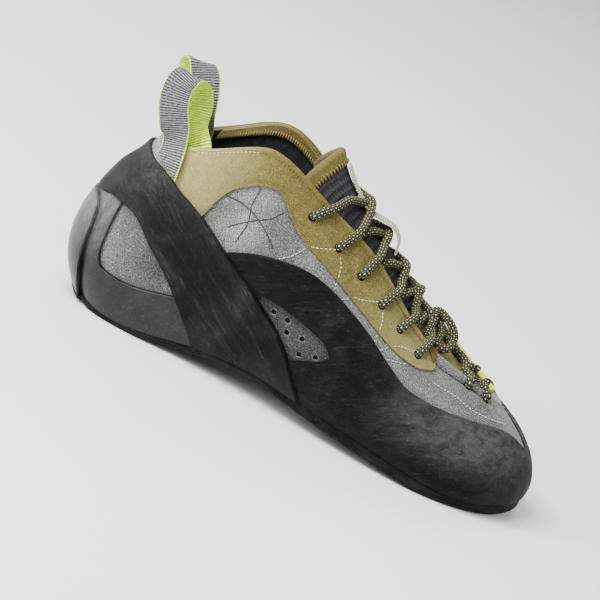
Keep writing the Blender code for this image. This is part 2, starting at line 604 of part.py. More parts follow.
def make_loop(shoe, side, finish):
    """Heel pull loop over the collar's edge: up outside, over, and down inside. Its free stretch is in shares
    of the loop's depth (out), height (up) and width (forward) from the edge."""
    def at(number):
        return number if side == "outer" else float(opposite(number))

    off = PANEL + 5 * GAP + WEBBING / 2
    in_off = -(WALL + GAP + LOOP_ROOM + WEBBING / 2)
    rim = skin(at(1.17), 1.0, off)
    out = np.array([0.0, -1.0 if side == "outer" else 1.0, 0.0])
    free = [(0.15, 0.26, -0.28), (0.22, 0.58, -0.60), (0.02, 0.87, -0.68), (-0.30, 1.0, -0.50),
            (-0.62, 0.87, -0.15), (-0.74, 0.58, 0.20), (-0.55, 0.26, 0.42)]
    start_share = float(edge(BAND_TOP, 1.75)) + 0.02
    base = [skin(at(1.50), start_share, off), skin(at(1.33), blend(start_share, 1.0, 0.6), off), rim]
    above = [rim + out * a * LOOP_DEPTH + np.array([c * LOOP_WIDTH, 0, b * LOOP_HEIGHT]) for a, b, c in free]
    inside = [skin(at(number), share, in_off - extra)
              for number, share, extra in ((1.68, 0.99, GAP), (1.75, 0.93, 0.0), (1.78, 0.86, 0.0))]
    outward = [facing(at(number), 0.95) for number in (1.45, 1.30, 1.17)]
    up = np.array([0.0, 0.0, 1.0])
    turn = [out, out, out + up, up, up - out, -out, -out]
    inward = [-facing(at(number), 0.95) for number in (1.68, 1.75, 1.78)]
    given = np.hstack([np.array(base + above + inside), np.array(outward + turn + inward) * WEBBING])
    run = smooth_path(given, 25)
    slant = (0.10, 0.0) if side == "outer" else (0.0, 0.10)
    rings = ribbon(run[:, :3], run[:, 3:], LOOP_WIDTH, WEBBING, slant)
    add_mesh(f"pull_loop_{side}", *loft(rings, closed=False), finish, shoe)


def lace_tube(name, points, finish, collection):
    """Round bar along a smooth curve through the points, as a closed mesh object."""
    curve = bpy.data.curves.new(name, "CURVE")
    curve.dimensions = "3D"
    curve.bevel_depth = LACE / 2
    curve.bevel_resolution = 2
    curve.use_fill_caps = True
    path = smooth_path(points, 9)
    spline = curve.splines.new("POLY")
    spline.points.add(len(path) - 1)
    for point, place in zip(spline.points, path):
        point.co = (*place, 1.0)
    source = bpy.data.objects.new(name + "_curve", curve)
    collection.objects.link(source)
    bpy.context.view_layer.update()
    mesh = bpy.data.meshes.new_from_object(source.evaluated_get(bpy.context.evaluated_depsgraph_get()))
    bpy.data.objects.remove(source)
    shape = bmesh.new()
    shape.from_mesh(mesh)
    bmesh.ops.remove_doubles(shape, verts=shape.verts, dist=1e-6)
    bmesh.ops.recalc_face_normals(shape, faces=shape.faces)
    shape.to_mesh(mesh)
    shape.free()
    obj = bpy.data.objects.new(name, mesh)
    collection.objects.link(obj)
    mesh.materials.clear()
    if finish:
        mesh.materials.append(finish)
    return obj


def over_edge(eyelet, inner_side):
    """Lace points from beside an eyelet up over the throat's edge."""
    number, outer_share, inner_share, _ = eyelet
    section = float(opposite(number)) if inner_side else number
    share = inner_share if inner_side else outer_share
    below = TRIM + 2 * GAP if inner_side and number > PANEL_TOP[-1][0] else PANEL
    off = below + 2 * GAP + LACE / 2
    return [skin(section, blend(share, 1.0, 0.55), off), skin(section, 1.0, off + GAP)]


def make_laces(shoe, finish):
    """Seven crossings over the tongue. Each lace of a crossing comes from under one side's edge at an eyelet
    and passes over the other side's edge to the next eyelet towards the toe; the first passes over both."""
    rest = LACE / 2 + GAP
    for i, (near, far) in enumerate(zip(EYELETS[:-1], EYELETS[1:])):
        step = far[0] - near[0]
        ridge = far[0] + far[3] * step
        ends = far[0] - 0.05 * step, near[0] + 0.4 * step
        numbers = np.interp([0.0, 0.5, 1.0, 1.5, 2.0], [0, 1, 2], [ends[0], ridge, ends[1]])
        shares = np.array([0.42, 0.22, 0.0, -0.2, -0.36])
        lifts = rest + LACE * np.array([0.30, 0.12, 0.0, 0.12, 0.20])
        if i == 0:
            lifts = lifts + 5 * GAP + KEEPER
            numbers[-1] = near[0] + 0.1 * step
        bars = []
        for inner_side in (False, True):
            sign = 1 if inner_side else -1
            points = over_edge(far, inner_side)
            points += [tongue_top(n, sign * w, z) for n, w, z in zip(numbers, shares, lifts)]
            if i == 0:
                points += over_edge(near, not inner_side)[::-1]
            name = f"lace_crossing_{i + 1}" if not inner_side else f"lace_crossing_{i + 1}_second"
            owner = shoe if not inner_side else bpy.data.collections["cutters"]
            bars.append(lace_tube(name, points, finish if not inner_side else None, owner))
        modifier = bars[0].modifiers.new("second_lace", "BOOLEAN")
        modifier.operation = "UNION"
        modifier.solver = "EXACT"
        modifier.object = as_cutter(bars[1])


def main():
    for obj in list(bpy.data.objects):
        bpy.data.objects.remove(obj)
    shoe = new_collection("climbing_shoe")
    cutters = new_collection("cutters")
    suede = material("grey_suede", (0.20, 0.20, 0.195), 0.85)
    olive = material("olive_suede", (0.19, 0.155, 0.05), 0.85)
    rubber = material("black_rubber", (0.018, 0.018, 0.018), 0.5)
    sole_rubber = material("sole_rubber", (0.022, 0.022, 0.022), 0.6)
    band_rubber = material("band_rubber", (0.015, 0.015, 0.015), 0.45)
    mesh_cloth = material("tongue_mesh", (0.03, 0.03, 0.032), 0.9)
    board = material("insole_board", (0.05, 0.05, 0.05), 0.9)
    webbing = material("loop_webbing", (0.12, 0.12, 0.12), 0.7)
    green = material("keeper_webbing", (0.35, 0.36, 0.10), 0.8)
    lemon = material("lemon_trim", (0.65, 0.68, 0.02), 0.7)
    cord = material("lace_cord", (0.10, 0.10, 0.09), 0.8)

    holes = eyelet_cutter(cutters)
    make_upper(shoe, holes, suede)
    make_panels(shoe, holes, olive)
    make_rand(shoe, cutters, rubber)
    make_heel_rand(shoe, rubber)
    make_band(shoe, band_rubber)
    make_soles(shoe, sole_rubber)
    make_insole(shoe, board)
    make_tongue(shoe, mesh_cloth)
    make_keeper(shoe, green)
    make_trim(shoe, lemon)
    for side in ("outer", "inner"):
        make_loop(shoe, side, webbing)
    make_laces(shoe, cord)


main()
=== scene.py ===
import math

import bmesh
import bpy
import numpy as np
from mathutils import Matrix, Vector


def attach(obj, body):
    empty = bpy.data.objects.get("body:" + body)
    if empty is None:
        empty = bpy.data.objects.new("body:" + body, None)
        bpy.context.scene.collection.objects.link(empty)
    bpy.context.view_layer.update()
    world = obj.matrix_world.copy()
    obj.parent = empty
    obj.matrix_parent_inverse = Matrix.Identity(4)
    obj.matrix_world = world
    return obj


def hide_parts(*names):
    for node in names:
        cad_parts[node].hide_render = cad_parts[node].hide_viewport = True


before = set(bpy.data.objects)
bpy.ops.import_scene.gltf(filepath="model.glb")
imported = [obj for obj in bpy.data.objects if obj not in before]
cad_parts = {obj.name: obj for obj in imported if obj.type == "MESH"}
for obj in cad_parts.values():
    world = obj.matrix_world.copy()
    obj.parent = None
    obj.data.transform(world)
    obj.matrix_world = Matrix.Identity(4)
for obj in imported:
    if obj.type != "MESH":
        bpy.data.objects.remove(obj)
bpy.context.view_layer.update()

print("frame loaded:", len(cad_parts), "pieces")

# Sizes in metres, the same as the model's
shoe = {
    "lastLength": 0.250, "heelWidth": 0.054, "ballWidth": 0.083, "collarHeight": 0.1165, "vampHeight": 0.064,
    "archRise": 0.010, "heelRest": 0.146, "wall": 0.0022, "gap": 0.00035, "panel": 0.0010, "rand": 0.0018,
    "band": 0.0018, "heelPatch": 0.0020, "heelSole": 0.0032, "foreSole": 0.0056, "tongue": 0.0032,
    "tongueCrown": 0.0190, "tongueRoom": 0.0008, "lace": 0.0042, "eyelet": 0.0046,
}

# Round the shoe from the back of the heel along the outer side to the toe tip and back: heel (0) or ball (1)
# sizes, lift of the foot line, then foot, belly, shoulder and top as shares along, across and up
sections = [
    (0.0, 0.40, (0.050, 0.0), (0.002, 0.0, 0.30), (0.026, 0.0, 0.565), (0.074, 0.0, 0.835)),
    (0.0, 0.15, (0.074, -0.23), (0.038, -0.35, 0.29), (0.054, -0.335, 0.56), (0.094, -0.27, 0.815)),
    (0.0, -0.08, (0.154, -0.37), (0.146, -0.50, 0.285), (0.152, -0.49, 0.585), (0.182, -0.435, 0.895)),
    (0.2, 0.45, (0.282, -0.36), (0.280, -0.485, 0.365), (0.278, -0.51, 0.73), (0.278, -0.45, 1.10)),
    (0.5, 0.88, (0.426, -0.38), (0.424, -0.505, 0.455), (0.418, -0.49, 0.82), (0.398, -0.30, 1.155)),
    (0.8, 0.61, (0.570, -0.44), (0.568, -0.525, 0.45), (0.560, -0.455, 0.80), (0.542, -0.20, 1.18)),
    (1.0, 0.31, (0.714, -0.465), (0.718, -0.52, 0.39), (0.700, -0.405, 0.72), (0.680, -0.15, 0.995)),
    (1.0, -0.08, (0.858, -0.42), (0.858, -0.445, 0.31), (0.834, -0.315, 0.615), (0.788, -0.09, 0.845)),
    (1.0, 0.04, (0.958, -0.215), (0.962, -0.23, 0.31), (0.926, -0.135, 0.57), (0.856, -0.01, 0.74)),
    (1.0, 0.20, (0.998, 0.05), (1.000, 0.055, 0.29), (0.962, 0.055, 0.51), (0.874, 0.06, 0.71)),
    (1.0, 0.05, (0.954, 0.325), (0.954, 0.335, 0.31), (0.912, 0.255, 0.57), (0.856, 0.125, 0.74)),
    (1.0, -0.08, (0.834, 0.445), (0.832, 0.475, 0.33), (0.810, 0.365, 0.665), (0.780, 0.175, 0.86)),
    (0.9, 0.43, (0.650, 0.41), (0.646, 0.475, 0.435), (0.634, 0.395, 0.765), (0.610, 0.205, 1.12)),
    (0.5, 1.00, (0.450, 0.305), (0.446, 0.455, 0.475), (0.434, 0.445, 0.83), (0.416, 0.315, 1.135)),
    (0.2, 0.60, (0.282, 0.325), (0.280, 0.47, 0.365), (0.278, 0.50, 0.73), (0.278, 0.45, 1.10)),
    (0.0, -0.08, (0.154, 0.36), (0.146, 0.49, 0.285), (0.152, 0.48, 0.585), (0.182, 0.435, 0.90)),
    (0.0, 0.15, (0.074, 0.23), (0.038, 0.35, 0.29), (0.054, 0.335, 0.56), (0.094, 0.27, 0.815)),
]
around = len(sections)
toe = 9
innerOf = [17.0, 16.0, 15.0, 14.0, 13.1, 12.4, 11.65, 10.8, 10.0, 9.0]  # inner number opposite each outer one

# Punched eyelets: outer section number, share of the wall on the outer and the inner side, ridge shift
eyelets = [(3.91, 0.881, 0.881, 0.0), (4.40, 0.873, 0.873, 0.10), (4.84, 0.870, 0.870, 0.10),
           (5.28, 0.870, 0.870, 0.10), (5.67, 0.877, 0.877, -0.08), (6.05, 0.855, 0.855, -0.20),
           (7.13, 0.925, 0.895, -0.35), (7.66, 0.915, 0.880, -0.15)]

# Lines across the tongue: outer section number, share at the throat, share at the tongue's own edge, crown
tongueLines = np.array([
    (3.72, 1.0, 0.87, 1.0), (3.95, 1.0, 0.84, 0.80), (4.35, 1.0, 0.83, 0.57), (4.8, 1.0, 0.83, 0.46),
    (5.3, 1.0, 0.84, 0.36), (5.9, 1.0, 0.84, 0.27), (6.6, 1.0, 0.86, 0.20), (7.3, 1.0, 0.88, 0.10),
    (8.0, 1.0, 0.89, 0.03), (8.6, 0.93, 0.85, 0.0)])


bothSides = ("outer", "inner")


def mix(low, high, share):
    return low + (high - low) * share


def smoothStep(value, low, high):
    t = np.clip((value - low) / (high - low), 0, 1)
    return t * t * (3 - 2 * t)


def cubicBetween(t, gap, start, startSlope, end, endSlope):
    # The cubic from start to end over a gap, with the given slopes at both
    return ((1 + 2 * t) * (1 - t) ** 2 * start + t * (1 - t) ** 2 * gap * startSlope
            + t * t * (3 - 2 * t) * end + t * t * (t - 1) * gap * endSlope)


def unit(vectors):
    return vectors / np.linalg.norm(vectors, axis=-1, keepdims=True)


def runAlong(path):
    # Length along a path at each of its points
    return np.concatenate([[0.0], np.cumsum(np.linalg.norm(np.diff(path, axis=0), axis=1))])


# The shoe's form: a closed cubic spline round the sections, then a cubic through the four levels up the wall
def sectionPoints():
    points = np.zeros((around, 4, 3))
    for i, (fore, lift, foot, *levels) in enumerate(sections):
        width = mix(shoe["heelWidth"], shoe["ballWidth"], fore)
        height = mix(shoe["collarHeight"], shoe["vampHeight"], fore)
        footRise = lift * shoe["archRise"] + mix(shoe["heelSole"], shoe["foreSole"], fore) + shoe["gap"]
        for j, (along, side, rise) in enumerate([(*foot, footRise / height), *levels]):
            points[i, j] = (along - shoe["heelRest"]) * shoe["lastLength"], side * width, rise * height
    return points


formPoints = sectionPoints()
stepLengths = np.linalg.norm((np.roll(formPoints, -1, axis=0) - formPoints)[:, [0, 3]], axis=2).mean(axis=1)
formPlaces = np.concatenate([[0.0], np.cumsum(stepLengths)]) / stepLengths.sum()


def roundSlopes(values):
    # Slopes that keep the closed spline's second derivative even at each section: a cyclic linear system
    gaps = np.diff(formPlaces)
    before, index = np.roll(gaps, 1), np.arange(around)
    matrix = np.diag(2 * (before + gaps))
    matrix[index, index - 1] += gaps
    matrix[index, (index + 1) % around] += before
    flat = values.reshape(around, -1)
    right = 3 * (gaps[:, None] * (flat - np.roll(flat, 1, axis=0)) / before[:, None]
                 + before[:, None] * (np.roll(flat, -1, axis=0) - flat) / gaps[:, None])
    return np.linalg.solve(matrix, right).reshape(values.shape)


formSlopes = roundSlopes(formPoints)


def surface(place, share):
    # A cubic between the two nearest sections, then the cubic through shares 0, 1/3, 2/3 and 1 up the wall
    place, share = np.broadcast_arrays(np.mod(np.asarray(place, float), 1.0), np.asarray(share, float))
    i = np.clip(np.searchsorted(formPlaces, place, side="right") - 1, 0, around - 1)
    following = (i + 1) % around
    gap = (formPlaces[i + 1] - formPlaces[i])[..., None, None]
    t = ((place - formPlaces[i]) / (formPlaces[i + 1] - formPlaces[i]))[..., None, None]
    levels = cubicBetween(t, gap, formPoints[i], formSlopes[i], formPoints[following], formSlopes[following])
    a, b, c, d = share, share - 1 / 3, share - 2 / 3, share - 1
    weights = np.stack([-4.5 * b * c * d, 13.5 * a * c * d, -13.5 * a * b * d, 4.5 * a * b * c], axis=-1)
    return np.einsum("...lc,...l->...c", levels, weights)


def placeOf(section):
    return np.interp(np.mod(section, around), np.arange(around + 1), formPlaces)


def facing(section, share):
    # Outward unit normal: the cross product of the ways round and up
    place, step = placeOf(section), 1e-4
    return unit(np.cross(surface(place + step, share) - surface(place - step, share),
                         surface(place, share + step) - surface(place, share - step)))


def skin(section, share, lift=0.0):
    section, share = np.broadcast_arrays(np.asarray(section, float), np.asarray(share, float))
    lift = np.broadcast_to(np.asarray(lift, float), section.shape)
    return surface(placeOf(section), share) + lift[..., None] * facing(section, share)


def opposite(section):
    return np.interp(section, np.arange(toe + 1), innerOf)


def outerNumber(section):
    section = np.mod(section, around)
    return np.where(section <= toe, section, np.interp(section, innerOf[::-1], np.arange(toe, -1, -1)))


def curveThrough(points, at):
    # Smooth edge line through (number, value) points: cubic with slopes limited so that it never overshoots
    x, y = np.array(points, float).T
    secant = np.diff(y) / np.diff(x)
    slope = np.concatenate([[secant[0]], (secant[1:] + secant[:-1]) / 2, [secant[-1]]])
    flat = np.concatenate([[False], secant[1:] * secant[:-1] <= 0, [False]])
    slope[flat] *= 0.35
    limit = 2.5 * np.minimum(np.abs(np.concatenate([[secant[0]], secant])),
                             np.abs(np.concatenate([secant, [secant[-1]]])))
    slope = np.where(flat, slope, np.clip(slope, -limit, limit))
    at = np.clip(at, x[0], x[-1])
    i = np.clip(np.searchsorted(x, at, side="right") - 1, 0, len(x) - 2)
    gap = x[i + 1] - x[i]
    return cubicBetween((at - x[i]) / gap, gap, y[i], slope[i], y[i + 1], slope[i + 1])


def edgeLine(points, section):
    return curveThrough(points, outerNumber(section))


def smoothPath(points, count):
    # A smooth cubic through the given points, its knots set apart by the root of each distance, read at
    # count even parameters
    points = np.asarray(points, float)
    ends = np.concatenate([[2 * points[0] - points[1]], points, [2 * points[-1] - points[-2]]])
    knots = np.concatenate([[0.0], np.cumsum(np.sqrt(np.linalg.norm(np.diff(ends, axis=0), axis=1)))])
    at = np.linspace(knots[1], knots[-2], count)
    i = np.clip(np.searchsorted(knots, at, side="right") - 1, 1, len(points) - 1)
    k = [knots[i + j - 1][:, None] for j in range(4)]
    p = [ends[i + j - 1] for j in range(4)]
    at = at[:, None]
    first = [((k[j + 1] - at) * p[j] + (at - k[j]) * p[j + 1]) / (k[j + 1] - k[j]) for j in range(3)]
    second = [((k[j + 2] - at) * first[j] + (at - k[j]) * first[j + 1]) / (k[j + 2] - k[j]) for j in range(2)]
    return ((k[2] - at) * second[0] + (at - k[1]) * second[1]) / (k[2] - k[1])


def evenPath(points, spacing):
    # The smooth path again, with its points evenly spaced along its length
    fine = smoothPath(points, 40 * len(points))
    run = runAlong(fine)
    count = max(3, int(run[-1] / spacing) + 1)
    at = np.linspace(0, run[-1], count)
    return np.stack([np.interp(at, run, fine[:, c]) for c in range(fine.shape[1])], axis=1)


def tongueGrid(numbers, across, lift=0.0):
    # Cubics over five points across: side edge, throat edge, ridge, throat edge, side edge
    numbers, across = np.asarray(numbers, float), np.asarray(across, float)

    def base(n, w):
        rim, edge, crown = (np.interp(n, tongueLines[:, 0], tongueLines[:, c]) for c in (1, 2, 3))
        under = -(shoe["wall"] + shoe["gap"] + shoe["tongueRoom"])
        rims = skin(n, rim, under), skin(opposite(n), rim, under)
        throat = skin(8.0, 1.0) - skin(4.0, 1.0)
        rise = np.array([-throat[2], 0.0, throat[0]]) / math.hypot(throat[0], throat[2])
        ridge = (rims[0] + rims[1]) / 2 + (crown * shoe["tongueCrown"])[..., None] * rise
        line = np.stack([skin(n, edge, under), rims[0], ridge, rims[1], skin(opposite(n), edge, under)])
        knots = np.array([-1.0, -0.62, 0.0, 0.62, 1.0])
        slopes = np.gradient(line, knots, axis=0)
        k = np.clip(np.searchsorted(knots, w, side="right") - 1, 0, 3)
        gap = (knots[k + 1] - knots[k])[:, None]
        t = (w - knots[k])[:, None] / gap
        index = np.arange(line.shape[1])
        start, end = (k, index), (k + 1, index)
        return cubicBetween(t, gap, line[start], slopes[start], line[end], slopes[end])

    n, w, lifts = (a.ravel() for a in np.broadcast_arrays(numbers, across, np.asarray(lift, float)))
    step = 0.02
    normal = np.cross(base(n + step, w) - base(n - step, w), base(n, w + step) - base(n, w - step))
    points = base(n, w) + lifts[:, None] * normal / np.linalg.norm(normal, axis=1, keepdims=True)
    return points.reshape(np.broadcast_shapes(numbers.shape, across.shape) + (3,))


# Quads between neighbouring rows and columns of points
def gridFaces(rows, columns, closeRows=False, closeColumns=False):
    i = np.arange(rows if closeRows else rows - 1)[:, None]
    j = np.arange(columns if closeColumns else columns - 1)[None, :]
    nextI, nextJ = (i + 1) % rows, (j + 1) % columns
    corners = [i * columns + j, nextI * columns + j, nextI * columns + nextJ, i * columns + nextJ]
    return np.stack([np.broadcast_to(c, (len(i), j.shape[1])).ravel() for c in corners], axis=1)


def makeMesh(name, points, faces, uv=None, extra=None):
    # foreach_set from whole arrays; uv holds one pair a point, extra a dictionary of values a point
    points, faces = np.asarray(points, np.float32).reshape(-1, 3), np.asarray(faces, np.int32)
    mesh = bpy.data.meshes.new(name)
    mesh.vertices.add(len(points))
    mesh.vertices.foreach_set("co", points.ravel())
    mesh.loops.add(faces.size)
    mesh.loops.foreach_set("vertex_index", faces.ravel())
    mesh.polygons.add(len(faces))
    mesh.polygons.foreach_set("loop_start", np.arange(0, faces.size, faces.shape[1], dtype=np.int32))
    mesh.update(calc_edges=True)
    if uv is not None:
        layer = mesh.uv_layers.new(name="run")
        layer.data.foreach_set("uv", np.asarray(uv, np.float32).reshape(-1, 2)[faces.ravel()].ravel())
    for label, values in (extra or {}).items():
        attribute = mesh.attributes.new(label, "FLOAT", "POINT")
        attribute.data.foreach_set("value", np.asarray(values, np.float32).ravel())
    return mesh


def sealMesh(mesh, distance=2e-6):
    # Merges doubles, drops faces left without area and turns all faces outwards
    shape = bmesh.new()
    shape.from_mesh(mesh)
    bmesh.ops.remove_doubles(shape, verts=shape.verts, dist=distance)
    bmesh.ops.dissolve_degenerate(shape, edges=shape.edges, dist=1e-7)
    bmesh.ops.recalc_face_normals(shape, faces=shape.faces)
    shape.to_mesh(mesh)
    shape.free()


sharpAngle = 38  # degrees between two faces, above which their edge is shaded sharp


def placeObject(name, data):
    made = bpy.data.objects.new(name, data)
    bpy.context.scene.collection.objects.link(made)
    return made


def addPiece(name, mesh, finish, replaced=(), sharp=sharpAngle):
    piece = placeObject(name, mesh)
    mesh.materials.clear()
    for one in (finish if isinstance(finish, (list, tuple)) else [finish]):
        mesh.materials.append(one)
    mesh.shade_smooth()
    if sharp:
        mesh.set_sharp_from_angle(angle=math.radians(sharp))
    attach(piece, "root")
    if replaced:
        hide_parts(*replaced)
    return piece


def closedLoft(name, rings, uv=None, extra=None, closeRows=False):
    # Rings of equal counts joined in turn, with a fan to the middle of each end ring unless they close up
    rows, columns = rings.shape[:2]
    points, faces = rings.reshape(-1, 3), gridFaces(rows, columns, closeRows, True)
    mesh = makeMesh(name, points, faces, uv, extra)
    if not closeRows:
        shape = bmesh.new()
        shape.from_mesh(mesh)
        every = list(shape.verts)
        for start in (0, (rows - 1) * columns):
            ring = every[start:start + columns]
            middle = shape.verts.new(sum((v.co for v in ring), Vector()) / columns)
            for j in range(columns):
                shape.faces.new((ring[j], ring[(j + 1) % columns], middle))
        shape.to_mesh(mesh)
        shape.free()
    sealMesh(mesh)
    return mesh


def levelFoot(columns, lift):
    # Share where the lifted surface is at the height of the foot line, found in steps by the wall's slope
    foot = skin(columns, 0.0)[:, 2]
    share = np.zeros(len(columns))
    lifts = np.full(len(columns), lift)
    for _ in range(5 if lift > 0 else 0):
        slope = (skin(columns, share + 0.01, lifts)[:, 2] - skin(columns, share, lifts)[:, 2]) / 0.01
        share += (foot - skin(columns, share, lifts)[:, 2]) / slope
    return share


def wallHeight(section, share):
    # Metres for a whole share of the wall, near a place
    return np.linalg.norm(skin(section, share + 0.01) - skin(section, share - 0.01), axis=-1) / 0.02


undercut = 0.8  # how far the heel's edge goes inward for each metre down, below the foot line
# Painted shade and highlight from the relief: raised places paler, hollows darker, for each metre of height
reliefPaintedShade = {"gain": 350, "darkest": -0.40, "palest": 0.20}  # tone of a raised place, a metre of height


def overlay(name, columns, low, high, inner, outer, rows, edge, relief=None, sink=0.0):
    # A patch of the shoe's surface with a rounded rim: up the inside, a quarter circle over the top edge,
    # down the outside and a quarter circle back. relief(section, share) lifts the outside.
    turn = np.linspace(0, math.pi / 2, 5)
    topRound = (edge / wallHeight(columns, high))[:, None]
    lowRound = (edge / wallHeight(columns, low))[:, None]
    run = np.linspace(0, 1, rows)
    ends = low[:, None] + lowRound, high[:, None] - topRound
    outside = ends[0] + (ends[1] - ends[0]) * run
    share = [low[:, None] + (high - low)[:, None] * run,
             ends[1] + topRound * np.cos(turn[:-1]), outside[:, ::-1],
             ends[0] - lowRound * np.sin(turn[1:])]
    lift = [np.full(rows, inner), outer - edge + edge * np.sin(turn[:-1]), np.full(rows, outer),
            outer - edge + edge * np.cos(turn[1:])]
    share, lift = np.concatenate(share, axis=1), np.concatenate(lift)
    section = np.broadcast_to(columns[:, None], share.shape)
    lifts = np.broadcast_to(lift, share.shape).copy()
    if relief:
        raised = relief(section, share)
        lifts = lifts + raised * (np.arange(share.shape[1]) >= rows)
    footed = low < 1e-6
    if footed.any():
        outFoot = levelFoot(columns[footed], outer)
        part = share[footed]
        part[:, rows:] = np.maximum(part[:, rows:], outFoot[:, None])
        inFoot = levelFoot(columns[footed], inner) if inner > 0 else np.zeros(footed.sum())
        part[:, :rows] = np.maximum(part[:, :rows], inFoot[:, None])
        share[footed] = part
    rings = skin(section, share, lifts)
    if sink:
        # Footed columns go on down and inward below the foot line instead of rounding off
        level = unit(facing(columns[footed], 0.0) * (1, 1, 0))
        down = -sink * (np.array([0.0, 0.0, 1.0]) + undercut * level)
        rim = len(turn)
        depth = np.linspace(1 / rim, 1, rim)[None, :, None]
        rings[footed, -rim:] = rings[footed, -rim - 1:-rim] + down[:, None] * depth
        rings[footed, 0, 2] -= sink
    uv = np.stack([section, share], axis=-1)
    extra = None
    if relief:
        # painted highlight on raised places and painted shade in hollows, kept as the pale attribute
        tone = reliefPaintedShade["gain"] * raised
        extra = {"pale": np.clip(tone, reliefPaintedShade["darkest"], reliefPaintedShade["palest"])}
    return closedLoft(name, rings, uv=uv, extra=extra)


def columnsFor(start, end, step, corners=()):
    # Even columns with the corners exactly on one; a column too near a corner is dropped
    made = np.arange(start, end, step)
    fixed = np.array(sorted({start, end, *corners}))
    kept = made[np.abs(made[:, None] - fixed[None, :]).min(axis=1) > 0.35 * step]
    return np.sort(np.concatenate([kept, fixed]))


def onSide(side, number):
    # An outer section number itself, or the inner one opposite it
    return number if side == "outer" else opposite(number)


def sideColumns(side, low, high, step, corners=()):
    # Columns between two outer numbers, or on the inner side between the numbers opposite them
    ends = (low, high) if side == "outer" else (opposite(high), opposite(low))
    return columnsFor(*ends, step, [onSide(side, n) for n in corners])


def cutBy(piece, cutter):
    # Exact Boolean difference, applied, and the cutter removed
    modifier = piece.modifiers.new("cut", "BOOLEAN")
    modifier.operation = "DIFFERENCE"
    modifier.solver = "EXACT"
    modifier.object = cutter
    bpy.context.view_layer.update()
    made = bpy.data.meshes.new_from_object(piece.evaluated_get(bpy.context.evaluated_depsgraph_get()))
    piece.modifiers.clear()
    old = piece.data
    piece.data = made
    bpy.data.meshes.remove(old)
    made.name = piece.name
    made.shade_smooth()
    made.set_sharp_from_angle(angle=math.radians(sharpAngle))
    bpy.data.objects.remove(cutter)


holeReach = 0.004  # metres that a hole's cutter goes to each side of the surface


def pinCutter(name, holes, radius, sides=20):
    # Round bars on the surface's normal at each (section, share)
    holes = np.array(holes, float)
    axis = facing(holes[:, 0], holes[:, 1])
    side = unit(np.cross(axis, (0.0, 0.0, 1.0)))
    up = np.cross(axis, side)
    turn = np.linspace(0, 2 * math.pi, sides, endpoint=False)
    ring = radius * (np.cos(turn)[None, :, None] * side[:, None] + np.sin(turn)[None, :, None] * up[:, None])
    middle = skin(holes[:, 0], holes[:, 1])
    ends = [middle + axis * depth for depth in (-holeReach, holeReach)]
    bars = np.stack([ends[0][:, None] + 0 * ring, ends[0][:, None] + ring, ends[1][:, None] + ring,
                     ends[1][:, None] + 0 * ring], axis=1)
    faces = gridFaces(4, sides, False, True)
    points = bars.reshape(len(holes), -1, 3)
    offsets = np.arange(len(holes))[:, None, None] * points.shape[1]
    mesh = makeMesh(name, points, (faces[None] + offsets).reshape(-1, 4))
    sealMesh(mesh)
    return placeObject(name, mesh)


def tubeRings(path, radius, sides):
    # A circle carried along a path without twist, turned only as the path turns
    tangent = unit(np.gradient(path, axis=0))
    side = np.zeros_like(path)
    start = np.cross(tangent[0], (0.0, 0.0, 1.0))
    side[0] = start / np.linalg.norm(start)
    for i in range(1, len(path)):
        moved = side[i - 1] - tangent[i] * (side[i - 1] @ tangent[i])
        side[i] = moved / np.linalg.norm(moved)
    up = np.cross(tangent, side)
    turn = np.linspace(0, 2 * math.pi, sides, endpoint=False)
    radius = np.broadcast_to(np.asarray(radius, float), (len(path),))[:, None, None]
    return path[:, None] + radius * (np.cos(turn)[None, :, None] * side[:, None]
                                     + np.sin(turn)[None, :, None] * up[:, None])


def tubeMesh(name, path, radius, sides=16):
    # The tube with a seam of its own in the UV map: around in turns, along in metres
    rings = tubeRings(path, radius, sides)
    rings = np.concatenate([rings, rings[:, :1]], axis=1)
    turns = np.linspace(0, 1, sides + 1)[None, :]
    uv = np.stack(np.broadcast_arrays(turns, runAlong(path)[:, None]), axis=-1)
    return makeMesh(name, rings, gridFaces(len(path), sides + 1), uv)


def stitchRuns(name, runs, finish, stitch):
    # Each stitch is a short spindle that dips into the leather at both ends; all are one mesh. A run is
    # a list of (points, outward normals) on the surface.
    half, radius, pitch = stitch["length"] / 2, stitch["radius"], stitch["pitch"]
    t = np.linspace(-1, 1, 6)
    turn = np.linspace(0, 2 * math.pi, 6, endpoint=False)
    girth = radius * np.sqrt(np.clip(1 - (0.94 * t) ** 6, 0.05, 1))
    height = radius * (0.55 - 1.1 * t ** 4)
    allPoints, allFaces, count = [], [], 0
    for points, normals in runs:
        points, normals = np.asarray(points, float), np.asarray(normals, float)
        run = runAlong(points)
        number = max(1, int(round(run[-1] / pitch)))
        at = (np.arange(number) + 0.5) * run[-1] / number
        reach = half * min(1.0, run[-1] / number / pitch)

        def readAt(values, where):
            return np.stack([np.interp(where, run, values[:, c]) for c in range(3)], axis=-1)

        where = at[:, None] + reach * t[None, :]
        spine = readAt(points, where)
        out = unit(readAt(normals, where))
        ahead = unit(readAt(points, at + reach) - readAt(points, at - reach))
        side = unit(np.cross(ahead[:, None], out))
        spine = spine + out * height[None, :, None]
        ring = (np.cos(turn)[None, None, :, None] * side[:, :, None]
                + 0.8 * np.sin(turn)[None, None, :, None] * out[:, :, None])
        bars = spine[:, :, None] + girth[None, :, None, None] * ring
        faces = gridFaces(len(t), len(turn), False, True)
        flat = bars.reshape(number, -1, 3)
        offsets = count + np.arange(number)[:, None, None] * flat.shape[1]
        allPoints.append(flat.reshape(-1, 3))
        allFaces.append((faces[None] + offsets).reshape(-1, 4))
        count += flat.shape[0] * flat.shape[1]
    mesh = makeMesh(name, np.concatenate(allPoints), np.concatenate(allFaces))
    sealMesh(mesh, distance=1e-7)
    return addPiece(name, mesh, finish, sharp=0)


